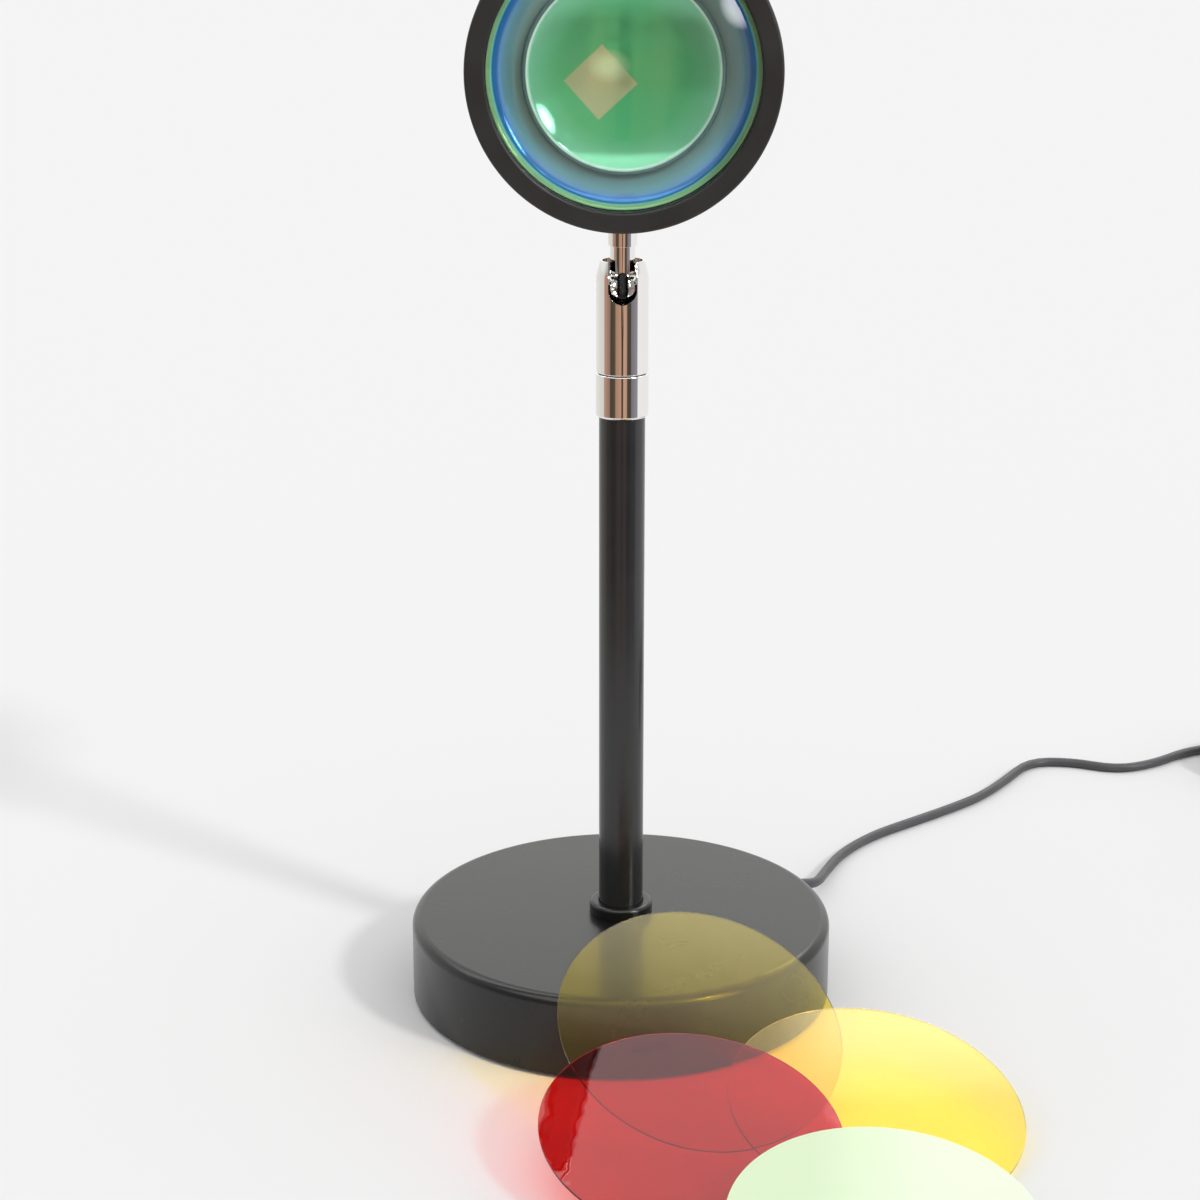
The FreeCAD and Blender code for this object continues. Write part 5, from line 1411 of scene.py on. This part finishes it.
# Brighter parts of the room: the wall behind the lamp, and two softboxes above it on its right. Each has the
# strength that it adds, and fades in between two places along each axis that limits it.
GLOWS = [
    (0.4, (("Y", 0.6, 0.8), ("Z", 0.1, 0.25), ("Z", 0.62, 0.55))),
    (40.0, (("Y", 0.645, 0.67), ("X", 0.12, 0.165), ("Z", PANELS_FOOT, PANELS_FULL))),
    (9.0, (("Y", 0.59, 0.615), ("X", 0.19, 0.215), ("Y", 0.66, 0.64), ("Z", PANELS_FOOT, PANELS_FULL))),
]
# The camera's place, tilt and lens, solved from the base's ellipse, the stem's height and the upright lines.
CAMERA_AT = (-0.005, -0.5533, 0.26675)
CAMERA_TILT = math.radians(73.03)
LENS_LENGTH = 75
FILM_WIDTH = 36


def studio_floor():
    """Seamless white paper that fills the view and keeps the soft shadows. Away from the lamp, mirror-like
    pieces see past it into the room, as past the edge of a small table."""
    bpy.ops.object.select_all(action="DESELECT")
    bpy.ops.mesh.primitive_plane_add(size=40)
    floor = bpy.context.object
    floor.name = "studio_floor"
    material, tree, shader = surface("seamless_paper", PALE, roughness=1.0, specular_ior_level=0.0)
    place = node(tree, "ShaderNodeTexCoord").outputs["Object"]
    away = node(tree, "ShaderNodeVectorMath", {"operation": "LENGTH"}, {0: place}).outputs["Value"]
    past_edge = node(
        tree,
        "ShaderNodeMapRange",
        inputs={"Value": away, "From Min": TABLE_REACH, "From Max": TABLE_REACH + TABLE_FADE},
    )
    mirrored = node(tree, "ShaderNodeLightPath").outputs["Is Glossy Ray"]
    gone = node(tree, "ShaderNodeMath", {"operation": "MULTIPLY"}, {0: mirrored, 1: past_edge})
    clear = node(tree, "ShaderNodeBsdfTransparent")
    mixed = node(tree, "ShaderNodeMixShader", inputs={"Fac": gone, 1: shader, 2: clear})
    tree.links.new(mixed.outputs[0], tree.nodes["Material Output"].inputs["Surface"])
    floor.data.materials.append(material)


def room_colour(tree, parts):
    """The room's picture round the lamp: drapes low down, the wall above them and the panels overhead. Gives
    its colour and how far each direction is overhead."""
    ahead = node(tree, "ShaderNodeMath", {"operation": "MULTIPLY"}, {0: parts.outputs["Y"], 1: -1.0})
    bearing = node(tree, "ShaderNodeMath", {"operation": "ARCTAN2"}, {0: parts.outputs["X"], 1: ahead})
    turn = node(
        tree, "ShaderNodeMapRange", inputs={"Value": bearing, "From Min": -math.pi, "From Max": math.pi}
    )
    low_down = node(
        tree,
        "ShaderNodeMapRange",
        inputs={"Value": parts.outputs["Z"], "From Min": DRAPES_TOP, "From Max": -DRAPES_TOP},
    )
    walls = node(
        tree,
        "ShaderNodeMix",
        {"data_type": "RGBA"},
        {
            "Factor": low_down,
            "A": node(tree, "ShaderNodeValToRGB", inputs={"Fac": turn}, stops=WALL),
            "B": node(tree, "ShaderNodeValToRGB", inputs={"Fac": turn}, stops=DRAPES),
        },
    )
    overhead = node(
        tree,
        "ShaderNodeMapRange",
        inputs={"Value": parts.outputs["Z"], "From Min": PANELS_FOOT, "From Max": PANELS_FULL},
    )
    to_back = node(
        tree, "ShaderNodeMapRange", inputs={"Value": parts.outputs["Y"], "From Min": -1.0, "From Max": 1.0}
    )
    room = node(
        tree,
        "ShaderNodeMix",
        {"data_type": "RGBA"},
        {
            "Factor": overhead,
            "A": walls.outputs["Result"],
            "B": node(tree, "ShaderNodeValToRGB", inputs={"Fac": to_back}, stops=PANELS),
        },
    )
    return room.outputs["Result"], overhead


def room_strength(tree, parts, overhead):
    """How bright the room's picture is: 1 round the lamp, the panels' strength overhead, and the glows."""
    bright = node(
        tree, "ShaderNodeMapRange", inputs={"Value": overhead, "To Min": 1.0, "To Max": PANEL_STRENGTH}
    )
    for strength, limits in GLOWS:
        glow = strength
        for axis, dark_at, full_at in limits:
            share = node(
                tree,
                "ShaderNodeMapRange",
                inputs={"Value": parts.outputs[axis], "From Min": dark_at, "From Max": full_at},
            )
            glow = node(tree, "ShaderNodeMath", {"operation": "MULTIPLY"}, {0: glow, 1: share})
        bright = node(tree, "ShaderNodeMath", {"operation": "ADD"}, {0: bright, 1: glow})
    return bright


def studio_world():
    """White room that lights everything plainly. Only the picture that gloss and glass carry has drapes, dim
    walls in front, panels, glows and the lamp's disc; the camera sees the paper's colour."""
    world = bpy.data.worlds.new("studio")
    bpy.context.scene.world = world
    world.use_nodes = True
    tree = world.node_tree
    tree.nodes.clear()
    way = node(tree, "ShaderNodeTexCoord").outputs["Generated"]
    parts = node(tree, "ShaderNodeSeparateXYZ", inputs={"Vector": way})
    colour, overhead = room_colour(tree, parts)
    strength = room_strength(tree, parts, overhead)
    to_lamp = node(
        tree,
        "ShaderNodeVectorMath",
        {"operation": "DOT_PRODUCT"},
        {0: way, 1: way_to(DISC_AZIMUTH, DISC_ELEVATION)},
    )
    disc = node(
        tree,
        "ShaderNodeMapRange",
        inputs={
            "Value": to_lamp.outputs["Value"],
            "From Min": math.cos(DISC_EDGE),
            "From Max": math.cos(DISC_CORE),
        },
    )
    lamp = node(tree, "ShaderNodeMath", {"operation": "MULTIPLY"}, {0: disc, 1: DISC_STRENGTH})
    white = linear("#ffffff")
    room = node(tree, "ShaderNodeBackground", inputs={"Color": colour, "Strength": strength})
    bright = node(tree, "ShaderNodeBackground", inputs={"Color": white, "Strength": lamp})
    picture = node(tree, "ShaderNodeAddShader", inputs={0: room, 1: bright})
    light = node(tree, "ShaderNodeBackground", inputs={"Color": white, "Strength": ROOM_LIGHT})
    plain = node(tree, "ShaderNodeBackground", inputs={"Color": linear(PALE), "Strength": 1.0})
    rays = node(tree, "ShaderNodeLightPath")
    carried = node(
        tree,
        "ShaderNodeMath",
        {"operation": "MAXIMUM"},
        {0: rays.outputs["Is Glossy Ray"], 1: rays.outputs["Is Transmission Ray"]},
    )
    lit = node(tree, "ShaderNodeMixShader", inputs={"Fac": carried, 1: light, 2: picture})
    seen = node(
        tree, "ShaderNodeMixShader", inputs={"Fac": rays.outputs["Is Camera Ray"], 1: lit, 2: plain}
    )
    node(tree, "ShaderNodeOutputWorld", inputs={"Surface": seen})


def way_to(azimuth, elevation):
    """Unit direction towards a lamp."""
    turn = math.radians(azimuth)
    rise = math.radians(elevation)
    return (math.cos(turn) * math.cos(rise), math.sin(turn) * math.cos(rise), math.sin(rise))


def studio_lamp(name, strength, azimuth, elevation, spread):
    """A large far softbox, as a sun lamp with a wide disc."""
    bpy.ops.object.select_all(action="DESELECT")
    bpy.ops.object.light_add(type="SUN", location=(0, 0, 1))
    lamp = bpy.context.object
    lamp.name = name
    lamp.data.energy = strength
    lamp.data.angle = math.radians(spread)
    lamp.rotation_euler = (math.radians(90 - elevation), 0, math.radians(azimuth + 90))


studio_floor()
studio_world()
studio_lamp("key_softbox", KEY_STRENGTH, KEY_AZIMUTH, KEY_ELEVATION, KEY_SPREAD)

bpy.ops.object.select_all(action="DESELECT")
bpy.ops.object.camera_add(location=CAMERA_AT, rotation=(CAMERA_TILT, 0, 0))
camera = bpy.context.object
camera.data.lens = LENS_LENGTH
camera.data.sensor_width = FILM_WIDTH
bpy.context.scene.camera = camera
bpy.context.scene.view_settings.view_transform = "Standard"
